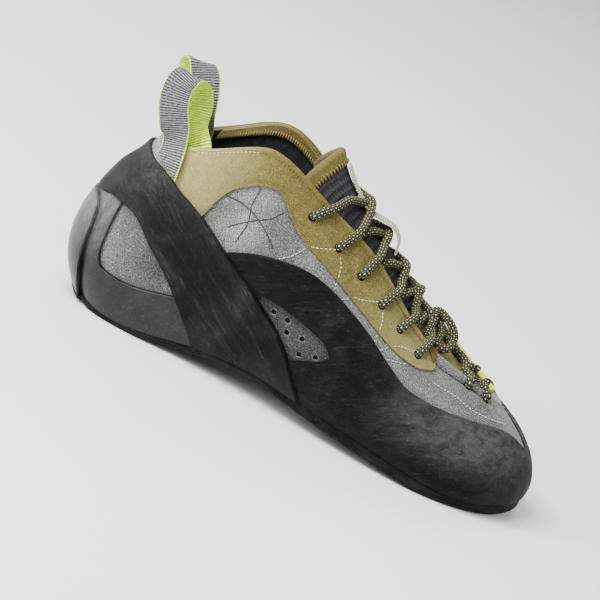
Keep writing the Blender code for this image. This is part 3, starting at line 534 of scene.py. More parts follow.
def seamOn(points, lift, relief=None):
    # A line on both sides through (section, share) points, as points and normals lifted off the surface
    fine = smoothPath([(n, s, 0.0) for n, s in points], 24 * len(points))
    made = []
    for side in bothSides:
        number = onSide(side, fine[:, 0])
        raised = relief(number[:, None], fine[:, 1:2])[:, 0] if relief else 0.0
        line = skin(number, fine[:, 1], lift + raised)
        made.append((line, facing(number, fine[:, 1])))
    return made


# Camera: the photo's angle to the shoe, rolled by the tilt that the shoe has there; the buffing follows it
view = {"aim": (0.0752, 0.0, 0.0480), "elevation": 17.0, "roll": 27.0, "distance": 1.90, "width": 0.291,
        "sensor": 36.0}


# Shader maths: an expression on sockets adds its Math nodes
class Value:
    def __init__(self, sheet, socket):
        self.sheet, self.socket = sheet, socket

    def join(self, operation, other, reflected=False):
        pair = (other, self) if reflected else (self, other)
        return self.sheet.node("ShaderNodeMath", {"operation": operation}, {0: pair[0], 1: pair[1]})

    def __add__(self, other):
        return self.join("ADD", other)

    def __radd__(self, other):
        return self.join("ADD", other, True)

    def __sub__(self, other):
        return self.join("SUBTRACT", other)

    def __rsub__(self, other):
        return self.join("SUBTRACT", other, True)

    def __mul__(self, other):
        return self.join("MULTIPLY", other)

    def __rmul__(self, other):
        return self.join("MULTIPLY", other, True)

    def __truediv__(self, other):
        return self.join("DIVIDE", other)

    def __rtruediv__(self, other):
        return self.join("DIVIDE", other, True)

    def __lt__(self, other):
        return self.join("LESS_THAN", other)

    def function(self, operation):
        return self.sheet.node("ShaderNodeMath", {"operation": operation}, {0: self})

    def ramp(self, low, high, start=0.0, end=1.0):
        # Clamped smooth change from start to end as the value goes from low to high
        return self.sheet.node("ShaderNodeMapRange", {"interpolation_type": "SMOOTHSTEP", "clamp": True},
                               {"Value": self, "From Min": low, "From Max": high, "To Min": start,
                                "To Max": end})


class Sheet:
    # One material with its Principled shader; node() adds any node from its type, settings and sockets
    def __init__(self, name, **fixed):
        self.material = bpy.data.materials.new(name)
        self.material.use_nodes = True
        self.tree = self.material.node_tree
        self.shader = self.tree.nodes["Principled BSDF"]
        for socket, value in fixed.items():
            self.shader.inputs[socket.replace("_", " ")].default_value = value

    def node(self, kind, settings=None, sockets=None, out=0):
        made = self.tree.nodes.new(kind)
        for name, value in (settings or {}).items():
            setattr(made, name, value)
        for name, value in (sockets or {}).items():
            if isinstance(value, Value):
                self.tree.links.new(value.socket, made.inputs[name])
            else:
                made.inputs[name].default_value = value
        return Value(self, made.outputs[out])

    def place(self, scale=(1, 1, 1), turn=(0, 0, 0)):
        # Object coordinates, first turned and then scaled, so that a small scale draws a pattern out along x
        where = self.node("ShaderNodeTexCoord", out="Object")
        if any(turn):
            where = self.node("ShaderNodeMapping", None, {"Vector": where, "Rotation": turn})
        return self.node("ShaderNodeMapping", None, {"Vector": where, "Scale": scale})

    def uv(self):
        return self.node("ShaderNodeUVMap", {"uv_map": "run"})

    def parts(self, vector):
        made = self.tree.nodes.new("ShaderNodeSeparateXYZ")
        self.tree.links.new(vector.socket, made.inputs[0])
        return [Value(self, output) for output in made.outputs]

    def noise(self, vector, scale, detail=4.0, roughness=0.55, distortion=0.0):
        return self.node("ShaderNodeTexNoise", None, {"Vector": vector, "Scale": scale, "Detail": detail,
                                                      "Roughness": roughness, "Distortion": distortion})

    def cells(self, vector, scale):
        return self.node("ShaderNodeTexVoronoi", None, {"Vector": vector, "Scale": scale}, out="Distance")

    def blend(self, share, first, second):
        made = self.tree.nodes.new("ShaderNodeMix")
        made.data_type = "RGBA"
        made.clamp_factor = True
        for socket, value in ((made.inputs[0], share), (made.inputs[6], first), (made.inputs[7], second)):
            if isinstance(value, Value):
                self.tree.links.new(value.socket, socket)
            else:
                socket.default_value = value if isinstance(value, (int, float)) else (*value, 1.0)
        return Value(self, made.outputs[2])

    def scaled(self, colour, factor):
        return self.node("ShaderNodeVectorMath", {"operation": "SCALE"}, {0: colour, "Scale": factor})

    def within(self, ramps):
        # Product of ramps along the shoe: rows of axis, low, high, start and end
        axes = dict(zip("xyz", self.parts(self.place())))
        share = None
        for axis, *limits in ramps:
            one = axes[axis].ramp(*limits)
            share = one if share is None else share * one
        return share

    def attribute(self, name):
        return self.node("ShaderNodeAttribute", {"attribute_name": name}, out="Fac")

    def set(self, **links):
        for name, value in links.items():
            self.tree.links.new(value.socket, self.shader.inputs[name.replace("_", " ")])

    def bump(self, height, distance, strength=1.0, under=None):
        sockets = {"Height": height, "Distance": distance, "Strength": strength}
        if under is not None:
            sockets["Normal"] = under
        return self.node("ShaderNodeBump", None, sockets)


def times(colour, factor):
    return tuple(min(1.0, c * factor) for c in colour)


def suedeFinish(name, dark, mid, light, speck, paintedLightPlaces=(), toneAndShade=False):
    # Napped leather: soft patches where the nap lies differently, salt-and-pepper fibre ends, fine bump.
    # The places listed after speck are blended towards the light colour as a painted highlight, where the
    # lamps light the nap most; the flag after them scales the colour by the pale attribute, which holds the
    # leather's own tone and the painted shade and highlight of its relief.
    sheet = Sheet(name, Roughness=0.92, Specular_IOR_Level=0.18, Sheen_Weight=0.16, Sheen_Roughness=0.4,
                  Sheen_Tint=(*light, 1.0))
    where = sheet.place()
    patches = sheet.noise(where, 32.0, 3.0, 0.55, 0.6)
    brushed = sheet.noise(sheet.place((0.45, 1.0, 1.0), (0.0, 0.9, 0.0)), 420.0, 4.0, 0.6, 0.3)
    fibres = sheet.noise(where, 2100.0, 2.0, 0.75)
    grains = sheet.noise(where, 1150.0, 2.0, 0.6)
    tone = sheet.blend(patches.ramp(0.30, 0.70, 0.25, 0.85), dark, mid)
    # painted highlight: the listed places blend towards the light colour of the nap
    for share, ramps in paintedLightPlaces:
        tone = sheet.blend(sheet.within(ramps) * share, tone, light)
    tone = sheet.blend(brushed.ramp(0.50, 0.80, 0.0, 0.18), tone, light)
    tone = sheet.blend(fibres.ramp(0.50, 0.64, 0.0, speck), tone, times(light, 1.7))
    tone = sheet.blend(fibres.ramp(0.36, 0.49, speck, 0.0), tone, times(dark, 0.30))
    tone = sheet.blend(grains.ramp(0.38, 0.56, speck * 0.6, 0.0), tone, times(dark, 0.50))
    # the pale attribute holds the leather's own tone and the painted shade and highlight of its relief
    if toneAndShade:
        tone = sheet.scaled(tone, sheet.attribute("pale") + 1.0)
    sheet.set(Base_Color=tone, Roughness=patches.ramp(0.3, 0.7, 0.96, 0.86))
    soft = sheet.bump(patches * 0.6 + brushed * 0.4, 0.0004, 0.5)
    sheet.set(Normal=sheet.bump(fibres * 0.6 + grains * 0.5, 0.00026, 0.6, soft))
    return sheet.material


def rubberFinish(name, base, dustAndSheen, roughness, scuffed, shine, along=(0.12, 1.0, 1.0), turn=(0, 0, 0),
                 worn=(), coat=0.0):
    # Buffed black rubber: hairlines drawn out along x once turned, chalky dust in patches, broad scuffs and
    # pits; worn holds places painted paler: rubbing wear with painted highlight on the toe, painted light on
    # the band's top and the heel. The pale colour stands for the dust and the painted highlight alike.
    sheet = Sheet(name, Roughness=roughness, Coat_Weight=coat, Coat_Roughness=0.16, Specular_IOR_Level=shine)
    where = sheet.place()
    patches = sheet.noise(where, 34.0, 5.0, 0.6, 0.8)
    hair = sheet.noise(sheet.place(along, turn), 1100.0, 3.0, 0.65)
    streaks = sheet.noise(sheet.place(along, turn), 230.0, 5.0, 0.7, 0.4)
    grain = sheet.noise(where, 1300.0, 3.0, 0.6)
    pits = sheet.cells(where, 420.0)
    mask = (patches.ramp(0.45, 0.75) * 0.5 + streaks.ramp(0.48, 0.80) * 0.6) * scuffed
    # painted highlight and wear: the listed places add to the pale mask
    for share, ramps in worn:
        mask = mask + sheet.within(ramps) * (streaks.ramp(0.30, 0.66, 0.35, 1.0) * share)
    tone = sheet.blend(mask, base, dustAndSheen)
    tone = sheet.blend(hair.ramp(0.55, 0.78, 0.0, 0.5) * (mask + 0.25), tone, times(dustAndSheen, 2.2))
    tone = sheet.blend(grain.ramp(0.54, 0.72, 0.0, 0.4) * (mask + 0.15), tone, times(dustAndSheen, 2.0))
    sheet.set(Base_Color=tone,
              Roughness=(roughness - 0.08) + patches * 0.14 + hair.ramp(0.35, 0.75, 0.0, 0.12) + mask * 0.2)
    fine = hair * 0.6 + grain * 0.35 + pits.ramp(0.0, 0.2, -0.25, 0.0)
    broad = sheet.bump(streaks * 0.7 + patches * 0.6, 0.0005, 0.35)
    sheet.set(Normal=sheet.bump(fine, 0.00016, 0.55, broad))
    return sheet.material


def fleeceFinish():
    # Black brushed lining: close little loops with softer clumps
    sheet = Sheet("lining_fleece", Roughness=0.97, Specular_IOR_Level=0.15, Sheen_Weight=0.10,
                  Sheen_Roughness=0.6)
    where = sheet.place()
    loops, clumps = sheet.cells(where, 1150.0), sheet.noise(where, 260.0, 4.0, 0.65)
    # painted shade between the little loops, painted highlight on the raised clumps
    tone = sheet.blend(loops.ramp(0.1, 0.7), (0.014, 0.014, 0.016), (0.004, 0.004, 0.005))
    tone = sheet.blend(clumps.ramp(0.45, 0.7, 0.0, 0.5), tone, (0.022, 0.022, 0.024))
    sheet.set(Base_Color=tone, Normal=sheet.bump(clumps * 0.6 - loops * 0.6, 0.0007, 0.8))
    return sheet.material


def meshFinish():
    # Knitted spacer mesh: rows of small open cells with a rib across every few millimetres
    sheet = Sheet("tongue_mesh_cloth", Roughness=0.85, Specular_IOR_Level=0.3)
    along, across, _ = sheet.parts(sheet.uv())
    cell = (along * (math.pi / 0.0011)).function("SINE") * (across * (math.pi / 0.0013)).function("SINE")
    holes = (cell * cell).ramp(0.25, 0.6)
    rib = (along * (2 * math.pi / 0.0042)).function("SINE")
    fuzz = sheet.noise(sheet.place(), 900.0, 3.0, 0.6)
    # painted shade: the open cells darkened
    tone = sheet.blend(holes, (0.020, 0.020, 0.023), (0.002, 0.002, 0.002))
    tone = sheet.blend(rib.ramp(-0.2, 1.0, 0.0, 0.3), tone, (0.070, 0.070, 0.076))
    tone = sheet.blend(fuzz.ramp(0.5, 0.7, 0.0, 0.3), tone, (0.09, 0.09, 0.09))
    sheet.set(Base_Color=tone)
    sheet.set(Normal=sheet.bump(holes * -0.7 + rib * 0.35 + fuzz * 0.2, 0.0006, 0.9))
    return sheet.material


def webbingFinish(name, base, light, edgeColour=None, edgeShare=0.0, pitch=0.0012, slant=0.0):
    # Woven tape: round ribs across, paler on their crowns and darker in the valleys, partly the weave's own
    # tones and partly painted highlight and painted shade; fine warp threads and coloured selvedges where
    # asked
    sheet = Sheet(name, Roughness=0.8, Specular_IOR_Level=0.3)
    across, along, _ = sheet.parts(sheet.uv())
    ribs = ((along + across * slant) * (2 * math.pi / pitch)).function("SINE")
    warp = (across * (2 * math.pi / 0.04)).function("SINE")
    fuzz = sheet.noise(sheet.place(), 1300.0, 3.0, 0.65)
    tone = sheet.blend((ribs + warp * 0.35).ramp(-0.75, 0.55), base, light)
    tone = sheet.blend(fuzz.ramp(0.50, 0.68, 0.0, 0.45), tone, times(light, 1.7))
    tone = sheet.blend(fuzz.ramp(0.34, 0.48, 0.45, 0.0), tone, times(base, 0.5))
    if edgeColour:
        rim = (across - 0.5).function("ABSOLUTE").ramp(0.49 - edgeShare, 0.5 - edgeShare)
        tone = sheet.blend(rim, tone, edgeColour)
    sheet.set(Base_Color=tone, Normal=sheet.bump(ribs * 0.8 + warp * 0.15 + fuzz * 0.3, 0.00032, 0.8))
    return sheet.material


def laceFinish(braid):
    # Round braid: two sets of strands wind against each other. With a and b the turns of each set, a cell
    # between whole a and b shows one strand. A quarter of the cells are yellow, a quarter grey, others black.
    sheet = Sheet("lace_braid", Roughness=0.72, Specular_IOR_Level=0.3)
    turn, along, _ = sheet.parts(sheet.uv())
    lay = along / braid["cell"]
    a, b = turn * braid["strands"] + lay, turn * braid["strands"] - lay
    evenA, evenB = (a * 0.5).function("FRACT") < 0.5, (b * 0.5).function("FRACT") < 0.5
    dome = ((a * math.pi).function("SINE") * (b * math.pi).function("SINE")).function("ABSOLUTE")
    fuzz = sheet.noise(sheet.place(), 1500.0, 3.0, 0.6)
    shown = dome.ramp(0.36, 0.66)
    tone = sheet.blend(fuzz.ramp(0.35, 0.65), (0.006, 0.006, 0.007), (0.024, 0.023, 0.027))
    tone = sheet.blend((1.0 - evenA) * (1.0 - evenB) * shown, tone, (0.105, 0.100, 0.125))
    tone = sheet.blend(evenA * evenB * shown, tone, (0.62, 0.60, 0.045))
    # painted shade in the gaps between the strands
    tone = sheet.blend(dome.ramp(0.0, 0.22, 0.75, 0.0), tone, (0.003, 0.003, 0.003))
    sheet.set(Base_Color=tone, Normal=sheet.bump(dome + fuzz * 0.2, 0.00030, 0.9))
    return sheet.material


def threadFinish(name, colour):
    sheet = Sheet(name, Roughness=0.6)
    twist = sheet.noise(sheet.place(), 1600.0, 2.0, 0.5)
    sheet.set(Base_Color=sheet.blend(twist.ramp(0.35, 0.65), times(colour, 0.62), colour),
              Normal=sheet.bump(twist, 0.00012, 0.6))
    return sheet.material


# Turns of the buffing marks, then the places painted paler: share and ramps along the axes. The toe's
# are rubbing wear with painted highlight; the band's, the heel's and the olive leather's are painted light.
brushedDown, brushedLevel = (0, -0.61, 0), (0, math.radians(view["roll"]), 0)
# rubbing wear and painted highlight: the toe rand paler on its upper front
toeWearAndHighlight = [(0.95, [("x", 0.118, 0.176, 0.0, 1.0), ("z", 0.010, 0.034, 0.0, 1.0)])]
# painted light: the band paler towards its top
bandPaintedLight = [(0.55, [("z", 0.045, 0.110, 0.0, 1.0)])]
# painted highlight on the upper back of the heel rubber
heelPaintedHighlight = [(1.00, [("x", -0.008, -0.030, 0.0, 1.0), ("z", 0.020, 0.052, 0.0, 1.0)])]
# olive painted paler at the heel end and towards the front of the eyestay: painted highlight where the light
# falls
olivePaintedHighlight = [(0.66, [("x", 0.040, -0.008, 0.0, 1.0)]), (0.30, [("x", 0.092, 0.135, 0.0, 1.0)])]

finishes = {
    "grey": suedeFinish("grey_suede", dark=(0.070, 0.071, 0.068), mid=(0.116, 0.117, 0.113),
                        light=(0.22, 0.22, 0.21), speck=0.66, toneAndShade=True),
    "olive": suedeFinish("olive_suede", dark=(0.072, 0.056, 0.012), mid=(0.115, 0.091, 0.022),
                         light=(0.37, 0.32, 0.135), speck=0.20, paintedLightPlaces=olivePaintedHighlight, toneAndShade=True),
    # a darker copy of the olive suede: painted shade, for the folded corner
    "dark": suedeFinish("shaded_olive_suede", dark=(0.050, 0.034, 0.007), mid=(0.095, 0.066, 0.014),
                        light=(0.19, 0.14, 0.04), speck=0.3),
    "rand": rubberFinish("rand_rubber", base=(0.0028, 0.0028, 0.0030), dustAndSheen=(0.052, 0.052, 0.052),
                         roughness=0.50, along=(0.10, 1.0, 1.0), turn=brushedLevel, scuffed=0.26,
                         worn=toeWearAndHighlight, shine=0.06),
    "band": rubberFinish("band_rubber", base=(0.0030, 0.0030, 0.0032), dustAndSheen=(0.046, 0.046, 0.046),
                         roughness=0.44, along=(0.10, 1.0, 1.0), turn=brushedDown, scuffed=0.45,
                         worn=bandPaintedLight, shine=0.07),
    # the heel rubber's pale colour is mostly that of its painted highlight
    "heel": rubberFinish("heel_rubber", base=(0.0030, 0.0030, 0.0032), dustAndSheen=(0.085, 0.085, 0.085),
                         roughness=0.34, along=(0.4, 1.0, 1.0), turn=(0, 1.2, 0), scuffed=0.18,
                         worn=heelPaintedHighlight, coat=0.18, shine=0.20),
    "sole": rubberFinish("sole_rubber", base=(0.0030, 0.0030, 0.0032), dustAndSheen=(0.050, 0.050, 0.050),
                         roughness=0.55, scuffed=0.40, shine=0.06),
    "lining": fleeceFinish(),
    "mesh": meshFinish(),
    "keeper": webbingFinish("keeper_webbing", base=(0.30, 0.30, 0.13), light=(0.58, 0.60, 0.36)),
    "loop": webbingFinish("loop_webbing", base=(0.010, 0.010, 0.012), light=(0.20, 0.20, 0.205),
                          edgeColour=(0.50, 0.60, 0.02), edgeShare=0.032, slant=0.0006),
    "lime": webbingFinish("lime_webbing", base=(0.30, 0.46, 0.010), light=(0.56, 0.80, 0.06)),
    "lemon": threadFinish("lemon_trim", (0.80, 0.84, 0.02)),
    "lace": laceFinish({"cell": 0.00125, "strands": 10.0}),
    "cream": threadFinish("cream_thread", (0.60, 0.59, 0.52)),
    "brown": threadFinish("olive_thread", (0.19, 0.13, 0.028)),
    "line": threadFinish("dark_line", (0.012, 0.012, 0.010)),
}
print("finishes made:", len(finishes))


def addCamera():
    angle = math.radians(view["elevation"])
    back = Vector((0.0, -math.cos(angle), math.sin(angle)))
    right = Vector((1.0, 0.0, 0.0))
    up = back.cross(right)
    turned = Matrix((right, up, back)).transposed() @ Matrix.Rotation(math.radians(view["roll"]), 3, "Z")
    data = bpy.data.cameras.new("camera")
    data.sensor_width = view["sensor"]
    data.lens = view["sensor"] * view["distance"] / view["width"]
    data.clip_start, data.clip_end = 0.05, 30.0
    camera = placeObject("camera", data)
    camera.matrix_world = Matrix.Translation(Vector(view["aim"]) + back * view["distance"]) @ turned.to_4x4()
    bpy.context.scene.camera = camera


lightAim = (0.08, 0.0, 0.05)
studio = {"colour": (0.93, 0.94, 0.95), "strength": 0.45, "floor": (0.86, 0.89), "half": 6.0}
lights = [
    {"name": "overhead", "place": (-0.45, -0.45, 1.00), "size": (0.8, 0.6), "watts": 29.0},
    {"name": "heel_strip", "place": (-0.80, -0.55, 0.55), "size": (0.14, 0.9), "watts": 17.0},
    {"name": "rim_strip", "place": (-0.95, 0.30, 0.22), "size": (0.10, 0.5), "watts": 5.0},
    {"name": "toe_strip", "place": (0.95, -0.45, 0.55), "size": (0.3, 0.7), "watts": 5.0},
    {"name": "back_strip", "place": (0.1, 0.95, 0.85), "size": (1.0, 0.4), "watts": 9.0},
]


def addLights():
    for light in lights:
        data = bpy.data.lights.new(light["name"], "AREA")
        data.shape = "RECTANGLE"
        data.size, data.size_y = light["size"]
        data.energy = light["watts"]
        lamp = placeObject(light["name"], data)
        aim = Vector(lightAim) - Vector(light["place"])
        lamp.location = light["place"]
        lamp.rotation_euler = aim.to_track_quat("-Z", "Y").to_euler()
    world = bpy.data.worlds.new("studio")
    world.use_nodes = True
    background = world.node_tree.nodes["Background"]
    background.inputs["Color"].default_value = (*studio["colour"], 1.0)
    background.inputs["Strength"].default_value = studio["strength"]
    bpy.context.scene.world = world


def addFloor():
    sheet = Sheet("pale_floor", Roughness=0.75)
    cloud = sheet.noise(sheet.place(), 2.0, 2.0)
    low, high = ((grey, grey, grey) for grey in studio["floor"])
    sheet.set(Base_Color=sheet.blend(cloud.ramp(0.3, 0.7), low, high))
    half = studio["half"]
    mesh = makeMesh("floor", [(-half, -half, 0), (half, -half, 0), (half, half, 0), (-half, half, 0)],
                    [(0, 1, 2, 3)])
    mesh.materials.append(sheet.material)
    placeObject("floor", mesh)


addCamera()
addLights()
addFloor()
print("camera, lights and floor placed")


# Edges of the pieces on the shoe's surface, and the punched vent holes: outer section number, share of the
# wall
bandTop = [(0.0, 0.880), (0.5, 0.876), (1.3, 0.846), (2.05, 0.737), (3.0, 0.540), (3.6, 0.420),
           (4.25, 0.272), (4.72, 0.050)]
bandBottom = [(0.0, 0.55), (0.45, 0.555), (1.0, 0.592), (1.35, 0.588), (2.05, 0.452), (2.6, 0.28),
              (3.0, 0.11), (3.2, 0.0), (4.8, 0.0)]
heelRandTop = [(0.0, 0.62), (1.12, 0.64), (1.21, 0.47), (1.26, 0.31), (1.42, 0.25), (2.6, 0.27),
               (2.65, 0.30), (3.0, 0.16), (3.4, 0.04)]
randBottom = [(2.75, 0.44), (3.0, 0.30), (3.6, 0.12), (4.1, 0.0), (9.0, 0.0)]
outerRandTop = [(2.75, 0.50), (3.15, 0.555), (3.7, 0.617), (4.3, 0.685), (4.8, 0.703), (5.2, 0.70),
                (5.7, 0.655), (6.0, 0.62), (6.3, 0.63), (7.0, 0.675), (8.0, 0.697), (8.4, 0.66), (8.7, 0.62),
                (9.0, 0.64)]
innerRandTop = [(2.75, 0.50), (3.15, 0.555), (3.7, 0.60), (4.3, 0.64), (5.5, 0.62), (7.0, 0.66), (8.0, 0.73),
                (8.6, 0.74), (9.0, 0.64)]
windowTop = [(3.55, 0.41), (3.72, 0.438), (4.2, 0.45), (4.7, 0.458), (4.82, 0.445), (4.88, 0.418)]
windowBottom = [(3.55, 0.37), (3.96, 0.29), (4.3, 0.20), (4.42, 0.237), (4.65, 0.311), (4.80, 0.368),
                (4.88, 0.412)]
patchTop = [(0.0, 0.525), (0.38, 0.53), (0.72, 0.505), (0.9, 0.43), (0.97, 0.32), (0.995, 0.20)]
panelBottom = [(1.45, 0.80), (2.05, 0.70), (2.38, 0.635), (2.46, 0.682), (2.52, 0.737), (2.64, 0.79),
               (2.8, 0.815), (3.0, 0.837), (3.33, 0.857), (3.6, 0.804), (3.85, 0.765), (4.4, 0.752),
               (5.6, 0.752), (6.05, 0.778), (6.25, 0.808)]
ventHoles = [(3.92, 0.395), (4.13, 0.403), (4.19, 0.347), (4.41, 0.377), (4.46, 0.290), (4.68, 0.350)]

gap, wallThick = shoe["gap"], shoe["wall"]
onUpper = gap + shoe["panel"]
onRand = 2 * gap + shoe["rand"]

# Soft troughs and ridges of the leather: points along each (outer number, share), half width and height
# in metres, below zero for a trough
creases = [
    {"line": [(5.9, 0.735), (6.5, 0.745), (7.1, 0.735)], "reach": 0.0026, "height": -0.00040},
    {"line": [(6.1, 0.69), (6.9, 0.715), (7.6, 0.735)], "reach": 0.0024, "height": 0.00030},
    {"line": [(2.7, 0.70), (3.2, 0.735), (3.6, 0.70)], "reach": 0.0040, "height": -0.00045},
    {"line": [(2.6, 0.60), (3.1, 0.63), (3.5, 0.655)], "reach": 0.0035, "height": 0.00030},
    {"line": [(1.4, 0.52), (1.9, 0.40), (2.3, 0.33)], "reach": 0.0045, "height": -0.00050},
    {"line": [(7.4, 0.80), (8.0, 0.83), (8.6, 0.82)], "reach": 0.0022, "height": -0.00040},
]

# The folded edge round the front of the throat, in metres: a soft roll and the sewn groove under it. Behind
# it a shallow hem runs along the collar; wide is the length of one section and swell a slow unevenness.
vampLip = {"height": 0.0019, "place": 0.0024, "reach": 0.0018, "groove": 0.0068, "grooveEnd": 0.0046,
           "deep": 0.0010, "grooveReach": 0.0013, "hem": 0.00025, "hemPlace": 0.0026, "hemReach": 0.0008,
           "wide": 0.030, "swell": 0.00012, "from": 6.15, "whole": 6.45, "grooveStop": 7.75}


def leatherRelief(section, share):
    # Sum over the creases of height * exp(-(distance / reach)^2), with the distance in metres on the wall,
    # plus a slow swell worked out from sines of the place
    number = outerNumber(section)
    high = wallHeight(section, share)
    lifted = vampLip["swell"] * np.sin(9.0 * section + 3.0 * share) * np.sin(17.0 * share + 2.0 * section)
    for crease in creases:
        line = smoothPath([(n, s, 0.0) for n, s in crease["line"]], 40)
        away = (((number[..., None] - line[:, 0]) * vampLip["wide"]) ** 2
                + ((share[..., None] - line[:, 1]) * high[..., None]) ** 2)
        lifted = lifted + crease["height"] * np.exp(-away.min(axis=-1) / crease["reach"] ** 2)
    fromTop = (1 - share) * high
    ahead = smoothStep(number, vampLip["from"], vampLip["whole"])
    lip = vampLip["height"] * np.exp(-((fromTop - vampLip["place"]) / vampLip["reach"]) ** 2) * ahead
    deep = mix(vampLip["groove"], vampLip["grooveEnd"], np.clip((number - 6.4) / 1.2, 0, 1))
    groove = vampLip["deep"] * np.exp(-((fromTop - deep) / vampLip["grooveReach"]) ** 2) * ahead
    groove = groove * smoothStep(vampLip["grooveStop"] - number, 0.0, 0.35)
    hem = vampLip["hem"] * np.exp(-((fromTop - vampLip["hemPlace"]) / vampLip["hemReach"]) ** 2)
    hem = hem * (1 - ahead)
    return lifted * smoothStep(1 - share, 0.0, 0.02) + lip - groove - hem


# How much paler than its mean the grey leather lies, below zero for darker: in the rand's window, on the
# vamp and its toe end, on the strip over the rand, in the middle and the front of the side panel, on the heel
# tab, and on the heel and behind the band, where the darkening towards the front is painted shade
paler = {"window": -0.66, "vamp": 0.10, "toe": 0.55, "strip": 0.12, "middle": 0.55, "front": -0.18,
         "tab": 0.8, "heel": 0.05, "behind": -0.42}


def paleShare(number, share):
    low = 1 - smoothStep(share, 0.47, 0.53)
    window = paler["window"] * smoothStep(number, 3.3, 3.5) * low
    vamp = paler["vamp"] * smoothStep(number, 5.9, 6.6) + paler["toe"] * smoothStep(number, 7.4, 8.6)
    strip = paler["strip"] * smoothStep(number, 3.8, 4.2) * smoothStep(6.6 - number, 0.0, 0.7) * (1 - low)
    side = (1 - low) * (number > 2.2) * (number < 3.9)
    middle = paler["middle"] * np.exp(-((number - 3.06) / 0.26) ** 2) * side
    front = paler["front"] * side * smoothStep(number, 3.25, 3.45)
    tab = paler["tab"] * smoothStep(1.6 - number, 0.0, 0.2) * smoothStep(share, 0.80, 0.86)
    # painted shade: the heel's leather darker towards the front and behind the band
    heel = smoothStep(2.6 - number, 0.0, 0.4) * (1 - smoothStep(share, 0.66, 0.75))
    heel = heel * (paler["heel"] + paler["behind"] * smoothStep(number, 1.3, 2.3))
    return window + np.maximum(vamp, strip) + middle + front + tab + heel


upperSettings = {"columns": 600, "rows": 78, "innerRows": 8, "skin": 0.0013, "rim": 0.00060}
ventRadius = 0.0014


def eyeletPlaces(side, count):
    # Section number and share of the first holes of a side, from the top
    return [(onSide(side, row[0]), row[1 if side == "outer" else 2]) for row in eyelets[:count]]


def makeUpper():
    # Outside from the foot line up, a half circle over the rim, then down the inside of the leather
    n, rows, rim = upperSettings["columns"], upperSettings["rows"], upperSettings["rim"]
    columns = np.linspace(0, around, n, endpoint=False)
    top = wallHeight(columns, 1.0)[:, None]
    turn = np.linspace(0, math.pi, 9)[1:-1]
    outShare = (1 - (1 - np.linspace(0, 1, rows)) ** 1.4)[None, :] * (1 - rim / top)
    overShare = 1 - rim / top + rim / top * np.sin(turn)[None, :]
    inShare = np.linspace(1, 0, upperSettings["innerRows"])[None, :] * (1 - rim / top)
    share = np.concatenate([outShare, overShare, inShare], axis=1)
    half = upperSettings["skin"] / 2
    lift = np.concatenate([np.zeros(rows), -half + half * np.cos(turn),
                           np.full(upperSettings["innerRows"], -2 * half)])
    section = np.broadcast_to(columns[:, None], share.shape)
    lifts = np.broadcast_to(lift, share.shape).copy()
    lifts[:, :rows] += leatherRelief(section[:, :rows], share[:, :rows])
    rings = skin(section, share, lifts)
    rings[:, -1, 2] = rings[:, 0, 2]
    number = outerNumber(section)
    # pale: the tone from paleShare plus painted shade in creases, grooves and troughs and painted highlight
    # on ridges and the rolled lip
    pale = paleShare(number, share) + np.clip(320 * leatherRelief(section, share), -0.38, 0.22)
    mesh = closedLoft("upper", rings, uv=np.stack([section, share], axis=-1), extra={"pale": pale},
                      closeRows=True)
    piece = addPiece("upper_leather", mesh, [finishes["grey"], finishes["olive"]], ["upper"],
                     sharp=0)
    paintRim(mesh)
    laced = [hole for side in bothSides for hole in eyeletPlaces(side, len(eyelets))]
    cutBy(piece, pinCutter("lace_holes", laced, shoe["eyelet"] / 2))
    small = [(onSide(side, n), s) for side in bothSides for n, s in ventHoles]
    cutBy(piece, pinCutter("small_holes", small, ventRadius))


def paintRim(mesh):
    # The rolled rim between the heel tab and the end of the eyestay is olive, by the UV of each face
    layer = mesh.uv_layers["run"]
    uv = np.zeros(len(layer.data) * 2)
    layer.data.foreach_get("uv", uv)
    starts = np.zeros(len(mesh.polygons), np.int32)
    mesh.polygons.foreach_get("loop_start", starts)
    corner = uv.reshape(-1, 2)[starts]
    number = outerNumber(corner[:, 0])
    olive = (corner[:, 1] > 0.955) & (number > 1.62) & (number < 6.25)
    mesh.polygons.foreach_set("material_index", olive.astype(np.int32))


liningSettings = {"columns": 420, "rows": 34, "top": 0.992, "room": 0.00005, "rim": 0.0002, "soft": 0.00018}


def makeLining():
    # The rest of the wall's thickness, closed at the foot line, with a soft swell on its inner side
    columns = np.linspace(0, around, liningSettings["columns"], endpoint=False)
    outer, inner = -upperSettings["skin"] - liningSettings["room"], -wallThick
    rows = liningSettings["rows"]
    upward = np.linspace(0, liningSettings["top"], rows)[None, :]
    share = np.concatenate([upward, upward[:, ::-1]], axis=1) + 0 * columns[:, None]
    lift = np.concatenate([np.full(rows, outer), np.full(rows, inner)])
    lift[rows - 1] -= liningSettings["rim"]
    lift[rows] += liningSettings["rim"]
    section = np.broadcast_to(columns[:, None], share.shape)
    soft = liningSettings["soft"] * np.sin(31 * section) * np.sin(23 * share + 5 * section) * (lift == inner)
    rings = skin(section, share, lift + soft)
    rings[:, -1, 2] = rings[:, 0, 2]
    mesh = closedLoft("lining", rings, closeRows=True)
    return addPiece("collar_lining", mesh, finishes["lining"], sharp=0)


makeUpper()
makeLining()
print("upper and lining made")


panelSettings = {"start": 1.45, "end": 6.40, "taper": 6.10, "middle": 0.882, "edge": 0.0004, "rows": 26,
                 "step": 0.020, "holes": 6}


def panelEdges(columns):
    # Lower and upper edge of the eyestay panel; both close to its middle in a round end
    number = outerNumber(columns)
    low, high = edgeLine(panelBottom, columns), np.ones(len(columns))
    taper = np.sqrt(np.clip(1 - np.clip((number - panelSettings["taper"])
                                        / (panelSettings["end"] - panelSettings["taper"]), 0, 1) ** 2, 0, 1))
    taper = np.maximum(taper, 0.03)
    return mix(panelSettings["middle"], low, taper), mix(panelSettings["middle"], high, taper)


